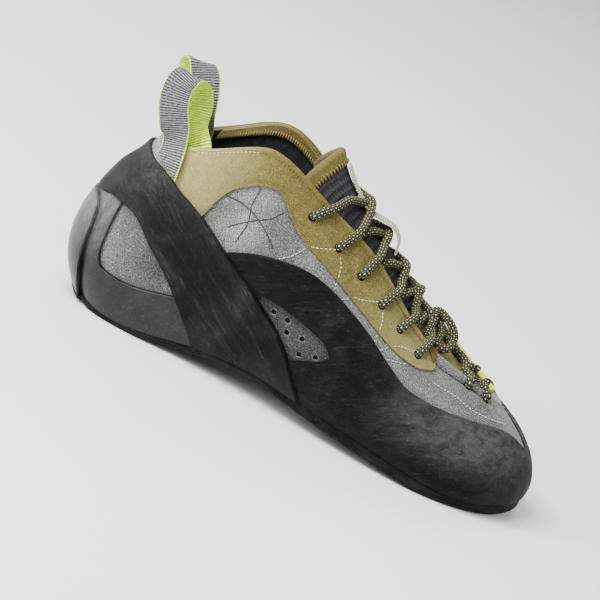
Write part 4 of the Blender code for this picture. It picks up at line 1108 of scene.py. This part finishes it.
def panelRelief(section, share):
    # A shallow stitched valley beside the edge and a low swell round it
    number, high = outerNumber(section), wallHeight(section, share)
    low, _ = panelEdges(np.asarray(section)[:, 0])
    fromEdge = (share - low[:, None]) * high
    fromTop = (1 - share) * high
    valley = np.exp(-((fromEdge - 0.0020) / 0.0007) ** 2) + np.exp(-((fromTop - 0.0030) / 0.0007) ** 2)
    puff = np.exp(-((fromTop - 0.0012) / 0.0014) ** 2) * 0.00060
    return puff - 0.00030 * valley + 0.00010 * np.sin(23 * number) * np.sin(29 * share)


def makePanels():
    for side in bothSides:
        columns = sideColumns(side, panelSettings["start"], panelSettings["end"], panelSettings["step"])
        low, high = panelEdges(columns)
        mesh = overlay(f"collar_panel_{side}", columns, low, high, gap, onUpper, panelSettings["rows"],
                       panelSettings["edge"], panelRelief)
        piece = addPiece(f"eyestay_panel_{side}", mesh, finishes["olive"],
                         [f"collar_panel_{side}"])
        cutBy(piece, pinCutter("lace_holes", eyeletPlaces(side, panelSettings["holes"]), shoe["eyelet"] / 2))


makePanels()
print("eyestay panels made")


# Step between columns in section numbers, rows up the outside, rounding of the rim in metres, and numbers of
# the corners of each edge
rubberSettings = {
    "rand": {"step": 0.022, "rows": 30, "edge": 0.0006, "corner": 4.1, "worn": 0.00012},
    "window": {"step": 0.020, "rows": 8, "edge": 0.0001, "corners": [4.3], "bend": 4.70},
    "heelRand": {"step": 0.022, "rows": 22, "edge": 0.0006, "corners": (1.12, 1.26)},
    "band": {"step": 0.022, "rows": 26, "edge": 0.0007, "corner": 3.2, "hug": 0.0022},
    "patch": {"step": 0.030, "rows": 26, "edge": 0.0008, "round": 0.93},
}


def makeRand():
    settings = rubberSettings["rand"]
    start, middle = randBottom[0][0], settings["corner"]
    columns = columnsFor(start, opposite(start), settings["step"], [middle, opposite(middle)])
    top = np.where(columns <= toe, edgeLine(outerRandTop, columns), edgeLine(innerRandTop, columns))

    def worn(section, share):
        wave = np.sin(13 * section + 7 * share) * np.sin(9 * share + 3 * section)
        return settings["worn"] * wave * (share > 0.05)

    mesh = overlay("rand", columns, edgeLine(randBottom, columns), top, gap, gap + shoe["rand"],
                   settings["rows"], settings["edge"], worn)
    piece = addPiece("toe_rand", mesh, finishes["rand"], ["rand"])
    settings = rubberSettings["window"]
    first, last, bend = windowTop[0][0], windowTop[-1][0], settings["bend"]
    for side in bothSides:
        columns = sideColumns(side, first, last, settings["step"], settings["corners"])
        ahead = np.clip((outerNumber(columns) - bend) / (last - bend), 0, 1)
        rounded = np.maximum(np.sqrt(np.clip(1 - ahead ** 2, 0, 1)), 0.02)
        low, high = edgeLine(windowBottom, columns), edgeLine(windowTop, columns)
        middle = (low + high) / 2
        low, high = mix(middle, low, rounded), mix(middle, high, rounded)
        cutter = overlay("window", columns, low, high, -shoe["rand"], gap + 3 * shoe["rand"],
                         settings["rows"], settings["edge"])
        cutBy(piece, placeObject("window", cutter))


def heelColumns(end, step, corners):
    # Columns round the heel, from the inner number opposite an outer one on to the outer one
    both = [number for n in corners for number in (around + n, opposite(n))]
    return columnsFor(opposite(end), around + end, step, both)


def makeHeelRand():
    settings = rubberSettings["heelRand"]
    columns = heelColumns(heelRandTop[-1][0], settings["step"], settings["corners"])
    mesh = overlay("heel_rand", columns, np.zeros(len(columns)), edgeLine(heelRandTop, columns), gap,
                   gap + shoe["rand"], settings["rows"], settings["edge"])
    addPiece("heel_wall_rand", mesh, finishes["heel"], ["heel_rand"])


def makeBand():
    settings = rubberSettings["band"]
    columns = heelColumns(bandTop[-1][0], settings["step"], [settings["corner"]])

    def hugging(section, share):
        # Over the heel rand's top edge the band comes down on the leather
        high = smoothStep(share, 0.68, 0.84) * smoothStep(1.7 - outerNumber(section), 0.0, 0.5)
        return -settings["hug"] * high

    mesh = overlay("band", columns, edgeLine(bandBottom, columns), edgeLine(bandTop, columns), gap,
                   onRand + shoe["band"], settings["rows"], settings["edge"], hugging)
    addPiece("heel_band", mesh, finishes["band"], ["slingshot_band"])


def makePatch():
    settings, end = rubberSettings["patch"], patchTop[-1][0]
    columns = columnsFor(around - end, around + end, settings["step"])
    number = np.abs(columns - around)
    low = 0.12 * smoothStep(number, settings["round"], end)
    mesh = overlay("patch", columns, low, curveThrough(patchTop, number), onRand, onRand + shoe["heelPatch"],
                   settings["rows"], settings["edge"], sink=2 * gap + shoe["heelSole"] / 2)
    addPiece("heel_back_patch", mesh, finishes["heel"])


makeRand()
makeHeelRand()
makeBand()
makePatch()
print("rubber rands, band and heel patch made")


# Rounding of the lower edge, numbers of the seams and of the patch's front edge, slices of the three parts
# and the power that crowds them at toe and heel
soleSettings = {"round": 0.0032, "heelSeam": 3.17, "foreSeam": 4.42, "patch": [0.0, 0.94, 1.03],
                "slices": {"fore": 120, "waist": 40, "heel": 90}, "crowd": 1.6, "insets": (0.002, 0.006)}


def soleRings(numbers, thinner=0.0):
    # At each number a slice from the outer to the inner side: flat top, upright side, round lower edge, flat
    # underside
    sides = []
    fores = [row[0] for row in sections]
    for side in bothSides:
        section = onSide(side, numbers)
        fore = np.interp(section, np.arange(around + 1), fores + fores[:1])
        foot, out = skin(section, 0.0), unit(facing(section, 0.0) * (1, 1, 0))
        over = np.interp(numbers, soleSettings["patch"], [gap + shoe["heelPatch"]] * 2 + [0.0])
        lift = gap + shoe["rand"] + over
        edgePoint = np.stack([skin(s, levelFoot(np.array([s]), r), r)[0] for s, r in zip(section, lift)])
        reach = np.linalg.norm((edgePoint - foot)[:, :2], axis=1)
        whole = mix(shoe["heelSole"], shoe["foreSole"], fore)
        bottom = np.maximum(0.0, foot[:, 2] - 2 * gap - whole) + thinner
        covered = over / (gap + shoe["heelPatch"])
        lowered = covered * (2 * gap + shoe["heelSole"] / 2)
        top = foot[:, 2] - 0.0001 - lowered
        reach = reach - undercut * lowered
        thick, curl = top - bottom, np.linspace(0, math.pi / 2, 7)
        radius = np.minimum(soleSettings["round"], 0.75 * thick)
        levels = [(reach - 0.0003, top), (reach - 0.0001, top - 0.0002)]
        levels += [(reach - radius * (1 - np.cos(c)), bottom + radius * (1 - np.sin(c))) for c in curl]
        levels += [(reach - radius - inset, bottom) for inset in soleSettings["insets"]]
        sides.append([(foot + out * r[:, None]) * (1, 1, 0) + np.stack([0 * z, 0 * z, z], axis=1)
                      for r, z in levels])
    outer, inner = np.stack(sides[0], axis=1), np.stack(sides[1], axis=1)
    return np.concatenate([outer[:, ::-1], inner], axis=1)


def makeSoles():
    first, last = soleSettings["heelSeam"], soleSettings["foreSeam"]
    seam = 0.6 * gap / np.linalg.norm(skin(4.0, 0.0) - skin(3.0, 0.0))
    counts, power = soleSettings["slices"], soleSettings["crowd"]
    numbers = toe - (toe - last) * (1 - np.linspace(0, 1, counts["fore"])) ** power
    mesh = closedLoft("forefoot", soleRings(numbers))
    addPiece("forefoot_sole", mesh, finishes["sole"], ["forefoot_outsole"])
    between = np.linspace(0, 1, counts["waist"])
    thinner = shoe["heelSole"] / 3 * smoothStep(1 - np.abs(2 * between - 1), 0.0, 0.35)
    mesh = closedLoft("waist", soleRings(mix(first + seam, last - seam, between), thinner))
    addPiece("waist_sole", mesh, finishes["sole"], ["waist_rubber"])
    mesh = closedLoft("heel", soleRings(first * np.linspace(0, 1, counts["heel"]) ** power))
    addPiece("heel_sole", mesh, finishes["sole"], ["heel_outsole"])


insoleSettings = {"from": 0.12, "to": 8.8, "slices": 110, "thick": 0.0020, "rim": 0.0004}


def makeInsole():
    # Slices across at numbers along the foot, with the top slightly raised at the rim
    numbers = mix(insoleSettings["from"], insoleSettings["to"], np.linspace(0, 1, insoleSettings["slices"]))
    lift = -(wallThick + 2 * gap)
    rows = []
    for section in (numbers, opposite(numbers)):
        foot = skin(section, 0.0)[:, 2]
        point = skin(section, 0.0, lift)
        point[:, 2] = foot + gap
        rows.append(point)
    across = np.linspace(0, 1, 15)[None, :, None]
    low = rows[0][:, None] * (1 - across) + rows[1][:, None] * across
    raised = insoleSettings["thick"] + insoleSettings["rim"] * (np.abs(2 * across - 1) ** 4)
    high = low + np.concatenate([0 * raised, 0 * raised, raised], axis=2)
    mesh = closedLoft("insole", np.concatenate([low, high[:, ::-1]], axis=1))
    addPiece("footbed", mesh, finishes["lining"], ["insole"])


makeSoles()
makeInsole()
print("soles and footbed made")


tongueSettings = {"top": 3.72, "toeEnd": 8.6, "suedeFrom": 5.85, "binding": 0.0058, "proud": 0.0007,
                  "halfWidth": 0.026, "puff": 0.00015, "ribTurns": 110, "joint": 0.004,
                  "rows": {"mesh": 110, "suede": 90}}


def tongueMesh(name, start, end, count, puff):
    # Inside and outside grids of the padded tongue; puff swells the outside between its cross ribs
    numbers = np.linspace(start, end, count)
    across = np.linspace(-1, 1, 61)
    ridge = tongueGrid(numbers, np.zeros(count))
    along = runAlong(ridge)
    swell = puff * (1 - across ** 2)[None, :] * np.sin(tongueSettings["ribTurns"] * along)[:, None]
    out = tongueGrid(numbers[:, None], across[None, :], swell)
    inside = tongueGrid(numbers[:, None], across[None, ::-1], -shoe["tongue"])
    edge = [tongueGrid(numbers[:, None], np.full((1, 1), side), -shoe["tongue"] * depth)
            for side, depth in ((1.0, 0.15), (1.0, 0.85), (-1.0, 0.85), (-1.0, 0.15))]
    rings = np.concatenate([out, edge[0], edge[1], inside, edge[2], edge[3]], axis=1)
    wide = np.concatenate([across, [1.0, 1.0], across[::-1], [-1.0, -1.0]]) * tongueSettings["halfWidth"]
    uv = np.stack(np.broadcast_arrays(along[:, None], wide[None, :]), axis=-1)
    return closedLoft(name, rings, uv=uv)


def makeTongue():
    top, split = tongueSettings["top"], tongueSettings["suedeFrom"]
    rows = tongueSettings["rows"]
    mesh = tongueMesh("tongue_mesh", top, split, rows["mesh"], tongueSettings["puff"])
    addPiece("tongue_mesh_part", mesh, finishes["mesh"], ["tongue"], sharp=55)
    mesh = tongueMesh("tongue_suede", split + tongueSettings["joint"], tongueSettings["toeEnd"],
                      rows["suede"], 0.0)
    addPiece("tongue_suede_end", mesh, finishes["olive"], sharp=55)


def bindingNumbers(across, reach):
    # Section numbers at a distance from the tongue's top edge, along its surface
    top = tongueSettings["top"]
    first = tongueGrid(np.full(len(across), top), across)
    step = np.linalg.norm(tongueGrid(np.full(len(across), top + 0.1), across) - first, axis=1)
    return top + 0.1 / step * reach


def makeBinding():
    # A folded strip over the tongue's top edge: down the outside, round the edge and down the inside
    across = np.linspace(-1, 1, 81)
    top, proud, thick = tongueSettings["top"], tongueSettings["proud"], shoe["tongue"]
    deep = bindingNumbers(across, tongueSettings["binding"])[:, None]
    short = bindingNumbers(across, 0.0006)[:, None]
    t = np.linspace(0, 1, 12)[None, :]
    numbers, wide = mix(deep, short, t), across[:, None]
    ahead = unit(tongueGrid(np.full(81, top), across) - tongueGrid(np.full(81, top + 0.06), across))
    outside = tongueGrid(numbers, wide, np.full(12, proud) - 0.0004 * (t[0] < 0.02))
    inside = tongueGrid(numbers[:, ::-1], wide, -thick - np.full(12, proud))
    a, b = outside[:, -1], inside[:, 0]
    middle, half = (a + b) / 2, (a - b) / 2
    turn = np.linspace(0, math.pi, 9)[None, 1:-1, None]
    reach = np.linalg.norm(half, axis=1)[:, None, None]
    over = middle[:, None] + half[:, None] * np.cos(turn) + ahead[:, None] * reach * 0.9 * np.sin(turn)
    back = tongueGrid(numbers[:, ::3], wide, np.full((1, 4), -thick + 0.0008))
    front = tongueGrid(numbers[:, ::-3], wide, np.full((1, 4), -0.0008))
    mesh = closedLoft("binding", np.concatenate([outside, over, inside, back, front], axis=1))
    addPiece("tongue_binding", mesh, finishes["olive"], sharp=50)


def tapeMesh(name, path, face, width, thick, late=(0.0, 0.0)):
    # A flat tape: at each point of the path a slice across with thin edges; u is across, v metres along.
    # late holds the share of the path that each edge misses at the start, which cuts the end on a slant.
    tangent = np.gradient(path, axis=0)
    across = unit(np.cross(tangent, face))
    out = unit(np.cross(across, tangent))
    u = np.linspace(0, 1, 15)
    belly = np.sqrt(np.clip(1 - np.abs(2 * u - 1) ** 12, 0.06, 1)) * thick / 2
    profileU = np.concatenate([u, u[::-1]])
    profileOut = np.concatenate([belly, -belly[::-1]])
    run = np.linspace(0, 1, len(path))
    missed = mix(late[0], late[1], profileU)[None, :]
    where = (missed + (1 - missed) * run[:, None]) * (len(path) - 1)
    i = np.clip(where.astype(int), 0, len(path) - 2)
    share = (where - i)[..., None]

    def at(values):
        return values[i] * (1 - share) + values[i + 1] * share

    rings = (at(path) + at(across) * ((profileU - 0.5) * width)[None, :, None]
             + at(out) * profileOut[None, :, None])
    along = np.interp(where, np.arange(len(path)), runAlong(path))
    return closedLoft(name, rings, uv=np.stack([np.broadcast_to(profileU, where.shape), along], axis=-1))


def paintInside(mesh, path, face):
    # Faces of a tape that look away from its outer side take the second finish
    out = unit(face)
    centres, normals = np.zeros(len(mesh.polygons) * 3), np.zeros(len(mesh.polygons) * 3)
    mesh.polygons.foreach_get("center", centres)
    mesh.polygons.foreach_get("normal", normals)
    nearest = np.linalg.norm(centres.reshape(-1, 1, 3) - path[None], axis=2).argmin(axis=1)
    inward = np.einsum("ij,ij->i", normals.reshape(-1, 3), out[nearest]) < 0
    mesh.polygons.foreach_set("material_index", inward.astype(np.int32))


keeper = {"width": 0.0080, "thick": 0.0012, "bow": 0.0070}


def makeKeeper():
    lie = 2 * gap + keeper["thick"] / 2 + 0.0003
    bow = keeper["bow"]
    given = [(3.9, lie), (4.15, lie), (4.40, lie), (4.57, mix(lie, bow, 0.1)), (4.69, mix(lie, bow, 0.55)),
             (4.86, 1.06 * bow), (5.00, bow), (5.10, mix(lie, bow, 0.45)), (5.15, lie)]
    path = evenPath([tongueGrid([n], [0.0], lift)[0] for n, lift in given], 0.0010)
    face = np.repeat(tongueGrid([4.6], [0.0], 1.0) - tongueGrid([4.6], [0.0]), len(path), axis=0)
    mesh = tapeMesh("keeper", path, face, keeper["width"], keeper["thick"])
    addPiece("tongue_lace_keeper", mesh, finishes["keeper"], ["tongue_keeper"])


trim = {"start": 9.9, "end": 11.25, "share": 0.99, "lift": 0.0015, "radius": 0.00145}


def makeTrim():
    # A piping along the inner edge of the throat
    columns = columnsFor(trim["start"], trim["end"], 0.02)
    path = skin(columns, trim["share"], trim["lift"])
    ends = np.minimum(columns - columns[0], columns[-1] - columns)
    mesh = tubeMesh("trim", path, trim["radius"] * np.sqrt(np.clip(ends / 0.06, 0.02, 1)), 12)
    sealMesh(mesh)
    addPiece("throat_edging", mesh, finishes["lemon"], ["throat_trim"])


# start, lean and edge are the outer numbers where the tape starts, bends and crosses the collar's edge; above
# is its start over the band's edge at bandAt, slant the share cut off one corner there. free holds its bow as
# shares of depth, height and width (out, up, forward), down its way inside: number past its end, share, room.
loop = {"width": 0.0145, "height": 0.0310, "depth": 0.0150, "thick": 0.0016, "room": 0.0012, "start": 1.50,
        "lean": 1.33, "edge": 1.17, "bandAt": 1.75, "above": 0.012, "slant": 0.10,
        "end": {"outer": 1.52, "inner": 1.30},
        "free": [(0.15, 0.26, -0.28), (0.22, 0.58, -0.60), (0.02, 0.87, -0.68), (-0.30, 1.0, -0.50),
                 (-0.62, 0.87, -0.15), (-0.72, 0.58, 0.12), (-0.58, 0.28, 0.26)],
        "down": [(0.0, 0.99, gap), (0.06, 0.93, 0.0), (0.08, 0.86, 0.0)]}


def makeLoop(side):
    # Up outside the collar, over in a free bow and down inside; the way that the tape faces is carried along
    def at(number):
        return onSide(side, number)

    off = shoe["panel"] + 5 * gap + loop["thick"] / 2
    inOff = -(wallThick + gap + loop["room"] + loop["thick"] / 2)
    rim = skin(at(loop["edge"]), 1.0, off)
    out = np.array([0.0, -1.0 if side == "outer" else 1.0, 0.0])
    low = edgeLine(bandTop, loop["bandAt"]) + loop["above"]
    base = [skin(at(loop["start"]), low, off), skin(at(loop["lean"]), mix(low, 1.0, 0.6), off), rim]
    above = [rim + out * a * loop["depth"] + np.array([c * loop["width"], 0, b * loop["height"]])
             for a, b, c in loop["free"]]
    end = loop["end"][side]
    inside = [skin(at(end + n), share, inOff - extra) for n, share, extra in loop["down"]]
    up = np.array([0.0, 0.0, 1.0])
    face = [facing(at(n), 0.95) for n in (1.45, 1.30, 1.17)]
    face += [out, out, out + up, up, up - out, -out, -out]
    face += [-facing(at(end + n), 0.95) for n, *_ in loop["down"]]
    given = np.hstack([np.array(base + above + inside), np.array(face) * loop["thick"]])
    run = evenPath(given, 0.0008)
    late = (loop["slant"], 0.0) if side == "outer" else (0.0, loop["slant"])
    mesh = tapeMesh("loop", run[:, :3], run[:, 3:], loop["width"], loop["thick"], late)
    addPiece(f"heel_loop_{side}", mesh, [finishes["loop"], finishes["lime"]],
             [f"pull_loop_{side}"], sharp=60)
    paintInside(mesh, run[:, :3], run[:, 3:])


makeTongue()
makeBinding()
makeKeeper()
makeTrim()
makeLoop("outer")
makeLoop("inner")
print("tongue, keeper, trim and loops made")


# One lace. Both halves start inside the top holes and cross over the tongue seven times; they join under
# the vamp. A point is x, y, z and the lace's radius there, less where it is pressed flat inside. lean is how
# far ahead of its hole the lace crosses the edge, leave how far on to the next hole it comes out under the
# edge; from the number bareFrom on, no panel lies on the leather.
lace = {"radius": shoe["lace"] / 2, "pressed": 0.0014, "sides": 16, "step": 0.0007, "inside": -0.0046,
        "hump": 0.0029, "low": 0.0013, "leave": 0.65, "bareFrom": 6.38, "crossings": 7, "slack": 5,
        "lean": [0.26, 0.20, 0.14, 0.14, 0.11, 0.14, 0.07, 0.04]}

# The sixth crossing is slack: (number, across with the outer side below zero, millimetres off the tongue),
# True for the strand that starts at the inner side and False for the one from the outer side
slack = {
    True: [(6.20, 0.52, 0.9), (6.42, 0.36, 1.2), (6.60, 0.24, 2.0), (6.74, 0.12, 3.0), (6.86, 0.00, 3.2),
           (6.97, -0.16, 2.8), (7.07, -0.33, 3.0)],
    False: [(6.17, -0.52, 1.6), (6.13, -0.30, 2.6), (6.06, -0.08, 4.2), (6.00, 0.06, 5.6), (6.06, 0.12, 7.2),
            (6.16, 0.10, 8.2), (6.28, 0.05, 8.5), (6.40, 0.00, 7.6), (6.49, -0.12, 5.6), (6.52, -0.27, 3.8),
            (6.46, -0.38, 2.8), (6.36, -0.36, 2.2), (6.32, -0.22, 2.0), (6.28, -0.05, 3.0), (6.20, 0.08, 4.0),
            (6.16, 0.24, 3.8), (6.34, 0.44, 3.6), (6.62, 0.52, 3.2), (6.90, 0.53, 2.4)],
}


def lacePoints(places, radius):
    places = np.reshape(places, (-1, 3))
    return [[*place, radius] for place in places]


def throughHole(k, innerSide, inward):
    # Over the edge of the throat and round the hole's rim, from outside the leather to inside or back
    number, outerShare, innerShare, _ = eyelets[k]
    share = innerShare if innerSide else outerShare
    bare = number > lace["bareFrom"]
    off = (0.0 if bare else shoe["panel"]) + gap + 0.9 * lace["radius"]
    if innerSide and bare:
        off = 0.6 * off
    section = number + lace["lean"][k] * np.array([1.0, 0.5, 0.1, 0.0, 0.0])
    section = opposite(section) if innerSide else section
    shares = mix(share, 1.0, np.array([1.0, 0.52, 0.13, 0.0, 0.04]))
    places = skin(section, shares, [off + gap, off, 0.72 * off, -0.0008, lace["inside"]])
    made = lacePoints(places[:3], lace["radius"]) + lacePoints(places[3:], lace["pressed"])
    return made if inward else made[::-1]


def hiddenPoint(number, innerSide, share, radius):
    section = opposite(number) if innerSide else number
    return lacePoints(skin(section, share, lace["inside"]), radius)


def crossing(i, inner):
    # Rows as in slack for one strand of a crossing; the strand that goes to the outer hole lies on top
    near, far = eyelets[i], eyelets[i + 1]
    step = far[0] - near[0]
    ridge, arrive = far[0] + far[3] * step, far[0] + lace["lean"][i + 1]
    leave = near[0] + (lace["lean"][0] if i == 0 else lace["leave"] * step)
    numbers = [mix(leave, ridge, 0.36), mix(leave, ridge, 0.74), ridge, mix(ridge, arrive, 0.55), arrive]
    lifts = lace["low"] + np.array([0.0012 if i == 0 else 0.0004, 0.0, -0.0002, 0.0, 0.0014])
    if i == 0:
        lifts = lifts + 0.0008
    if inner:
        lifts = lifts + lace["hump"] * np.array([0.0, 0.45, 1.0, 0.70, 0.15])
    side = 1 if inner else -1
    rows = [(n, side * w, 1000 * z) for n, w, z in zip(numbers, (0.32, 0.14, 0, -0.14, -0.32), lifts)]
    return rows if i == 0 else [(leave, side * 0.52, 0.9)] + rows


def laceHalf(startInner):
    points, inner = [], startInner
    for i in range(lace["crossings"]):
        rows = slack[inner] if i == lace["slack"] else crossing(i, inner)
        if i == 0:
            points += hiddenPoint(3.78, inner, 0.79, 0.0003) + hiddenPoint(3.82, inner, 0.81, lace["pressed"])
            points += throughHole(0, inner, False)
        else:
            points += hiddenPoint(rows[0][0], inner, 0.955, lace["pressed"])
        if i == lace["crossings"] - 1 and not inner:
            rows = [(n, w, 0.4 * z) for n, w, z in rows]
        number, across, lift = np.array(rows).T
        points += lacePoints(tongueGrid(number, across, lift / 1000), lace["radius"])
        inner = not inner
        points += throughHole(i + 1, inner, True)
    return points, inner


def makeLace():
    first, endInner = laceHalf(False)
    second, _ = laceHalf(True)
    side = 1 if endInner else -1
    under = lacePoints(tongueGrid([7.75, 7.75], [side * 0.35, -side * 0.35], -0.0012), lace["pressed"])
    path = evenPath(first + under + second[::-1], lace["step"])
    mesh = tubeMesh("lace", path[:, :3], path[:, 3], lace["sides"])
    replaced = [f"lace_crossing_{i + 1}" for i in range(lace["crossings"])]
    addPiece("shoe_lace", mesh, finishes["lace"], replaced, sharp=0)
    print("lace made, metres:", round(float(runAlong(path[:, :3])[-1]), 3))


makeLace()


stitches = {"seam": {"length": 0.00140, "radius": 0.00024, "pitch": 0.0020},
            "edge": {"length": 0.0012, "radius": 0.00020, "pitch": 0.0017},
            "bar": {"length": 0.0030, "radius": 0.00050, "pitch": 0.0030},
            "line": {"length": 0.0010, "radius": 0.00026, "pitch": 0.0008}}

# Seam rows as (outer number, share) points, on the bare leather and over the panel
leatherRows = [
    [(3.62, 0.60), (3.83, 0.668), (3.98, 0.745)],
    [(4.55, 0.706), (4.54, 0.745)],
    [(4.68, 0.700), (4.80, 0.745)],
    [(5.37, 0.690), (5.375, 0.745)],
    [(5.50, 0.690), (5.60, 0.745)],
    [(5.63, 0.680), (5.81, 0.724), (5.93, 0.758)],
    [(6.42, 0.780), (6.81, 0.789), (7.13, 0.760), (7.6, 0.752), (8.1, 0.780)],
]
panelRows = [
    [(4.03, 0.768), (4.11, 0.785), (4.38, 0.858)],
    [(4.535, 0.765), (4.52, 0.811), (4.46, 0.850)],
    [(4.84, 0.765), (4.96, 0.790), (5.21, 0.862)],
    [(5.375, 0.765), (5.37, 0.811), (5.32, 0.850)],
    [(5.66, 0.770), (5.78, 0.808), (5.97, 0.850)],
]
vampGroove = [(6.50, 0.0068), (7.0, 0.0057), (7.6, 0.0046)]  # outer number, metres below the throat's edge


def edgeRow(side, low, high, below, lift):
    # A row at a distance below the collar's and the throat's edge
    section = onSide(side, np.linspace(low, high, 320))
    share = 1 - below / wallHeight(section, 0.97)
    return skin(section, share, lift), facing(section, share)


def makeStitches():
    onLeather = [run for row in leatherRows for run in seamOn(row, 0.00030, leatherRelief)]
    stitchRuns("leather_stitching", onLeather, finishes["cream"], stitches["seam"])
    onPanel = [run for row in panelRows for run in seamOn(row, onUpper)]
    onPanel += [edgeRow(side, 1.66, 2.75, 0.0030, onUpper - 0.0001) for side in bothSides]
    stitchRuns("panel_stitching", onPanel, finishes["cream"], stitches["seam"])
    fine = [edgeRow(side, 2.75, 6.10, below, onUpper) for below in (0.0030, 0.0038)
            for side in bothSides]
    stitchRuns("panel_fine_stitching", fine, finishes["brown"], stitches["edge"])
    sunk = []
    for side in bothSides:
        number, below = smoothPath([(n, d, 0.0) for n, d in vampGroove], 80)[:, :2].T
        section = onSide(side, number)
        share = 1 - below / wallHeight(section, 0.9)
        lift = 0.0002 + leatherRelief(section[:, None], share[:, None])[:, 0]
        sunk.append((skin(section, share, lift), facing(section, share)))
    stitchRuns("vamp_groove_stitching", sunk, finishes["line"], stitches["seam"])


collarInside = {"from": 1.78, "to": 4.75, "facing": 0.0042, "thick": 0.0009, "barLow": 0.0066,
                "barHigh": 0.0036, "barPitch": 0.00135, "tongueBars": 46, "tongueLow": 0.0068,
                "tongueHigh": 0.0040, "step": 0.02, "rows": 8, "edge": 0.0003, "top": 0.998}


def makeCollarInside():
    # An olive facing inside the collar's edge and, over its lower edge, upright overlock stitches
    bars, under = [], -wallThick - collarInside["thick"]
    for side in bothSides:
        columns = sideColumns(side, collarInside["from"], collarInside["to"], collarInside["step"])
        low = 1 - collarInside["facing"] / wallHeight(columns, 0.95)
        mesh = overlay(f"facing_{side}", columns, low, np.full(len(columns), collarInside["top"]), under,
                       -wallThick + collarInside["edge"], collarInside["rows"], collarInside["edge"])
        addPiece(f"collar_facing_{side}", mesh, finishes["olive"])
        run = runAlong(skin(columns, 0.95, under))
        number = np.interp(np.arange(0, run[-1], collarInside["barPitch"]), run, columns)
        tall = wallHeight(number, 0.95)
        shares = [1 - collarInside[key] / tall for key in ("barLow", "barHigh")]
        lean = [number, number + 0.008]
        points = np.stack([skin(n, s, under - 0.0001) for n, s in zip(lean, shares)], axis=1)
        normals = np.stack([-facing(n, s) for n, s in zip(lean, shares)], axis=1)
        bars += list(zip(points, normals))
    proud = tongueSettings["proud"]
    ends = collarInside["tongueLow"], collarInside["tongueHigh"]
    for w in np.linspace(-0.96, 0.96, collarInside["tongueBars"]):
        # The same stitches over the lower edge of the tongue's binding, outside and inside
        numbers = [bindingNumbers(np.array([w]), reach)[0] for reach in ends]
        for lift, turned in ((proud + 0.0001, 1), (-shoe["tongue"] - proud, -1)):
            points = np.array([tongueGrid([n], [w], lift)[0] for n in numbers])
            away = np.array([tongueGrid([n], [w], lift + 0.001)[0] for n in numbers]) - points
            bars.append((points, turned * away / 0.001))
    stitchRuns("overlock_stitching", bars, finishes["brown"], stitches["bar"])


# Lower edge of the corner (outer section number, share of the wall), its top, and its inside and outside in
# metres off the surface
corner = {"low": [(6.16, 0.985), (6.24, 0.945), (6.31, 0.900), (6.345, 0.882), (6.37, 0.915), (6.40, 0.965)],
          "top": 0.999, "inner": 0.0010, "outer": 0.0021, "step": 0.012, "rows": 10, "edge": 0.0004}


def makeFoldedCorner():
    # The front corner of the eyestay, folded back at the end of the throat, in a darker copy of the olive
    # suede as painted shade
    for side in bothSides:
        columns = sideColumns(side, corner["low"][0][0], corner["low"][-1][0], corner["step"])
        low = np.interp(outerNumber(columns), *np.array(corner["low"]).T)
        mesh = overlay(f"corner_{side}", columns, low, np.full(len(columns), corner["top"]), corner["inner"],
                       corner["outer"], corner["rows"], corner["edge"])
        addPiece(f"eyestay_corner_{side}", mesh, finishes["dark"])


# Plain thin lines that cross on the grey side panel, pressed just into the nap
panelLines = [
    [(2.60, 0.768), (2.98, 0.742), (3.34, 0.690), (3.56, 0.640)],
    [(3.06, 0.832), (3.04, 0.760), (3.10, 0.680), (3.06, 0.590)],
    [(3.50, 0.800), (3.36, 0.742), (3.16, 0.700), (2.86, 0.640)],
]


def makePanelLines():
    lines = [run for row in panelLines for run in seamOn(row, 0.0, leatherRelief)]
    stitchRuns("side_panel_lines", lines, finishes["line"], stitches["line"])


makeStitches()
makeCollarInside()
makeFoldedCorner()
makePanelLines()
print("stitching made")
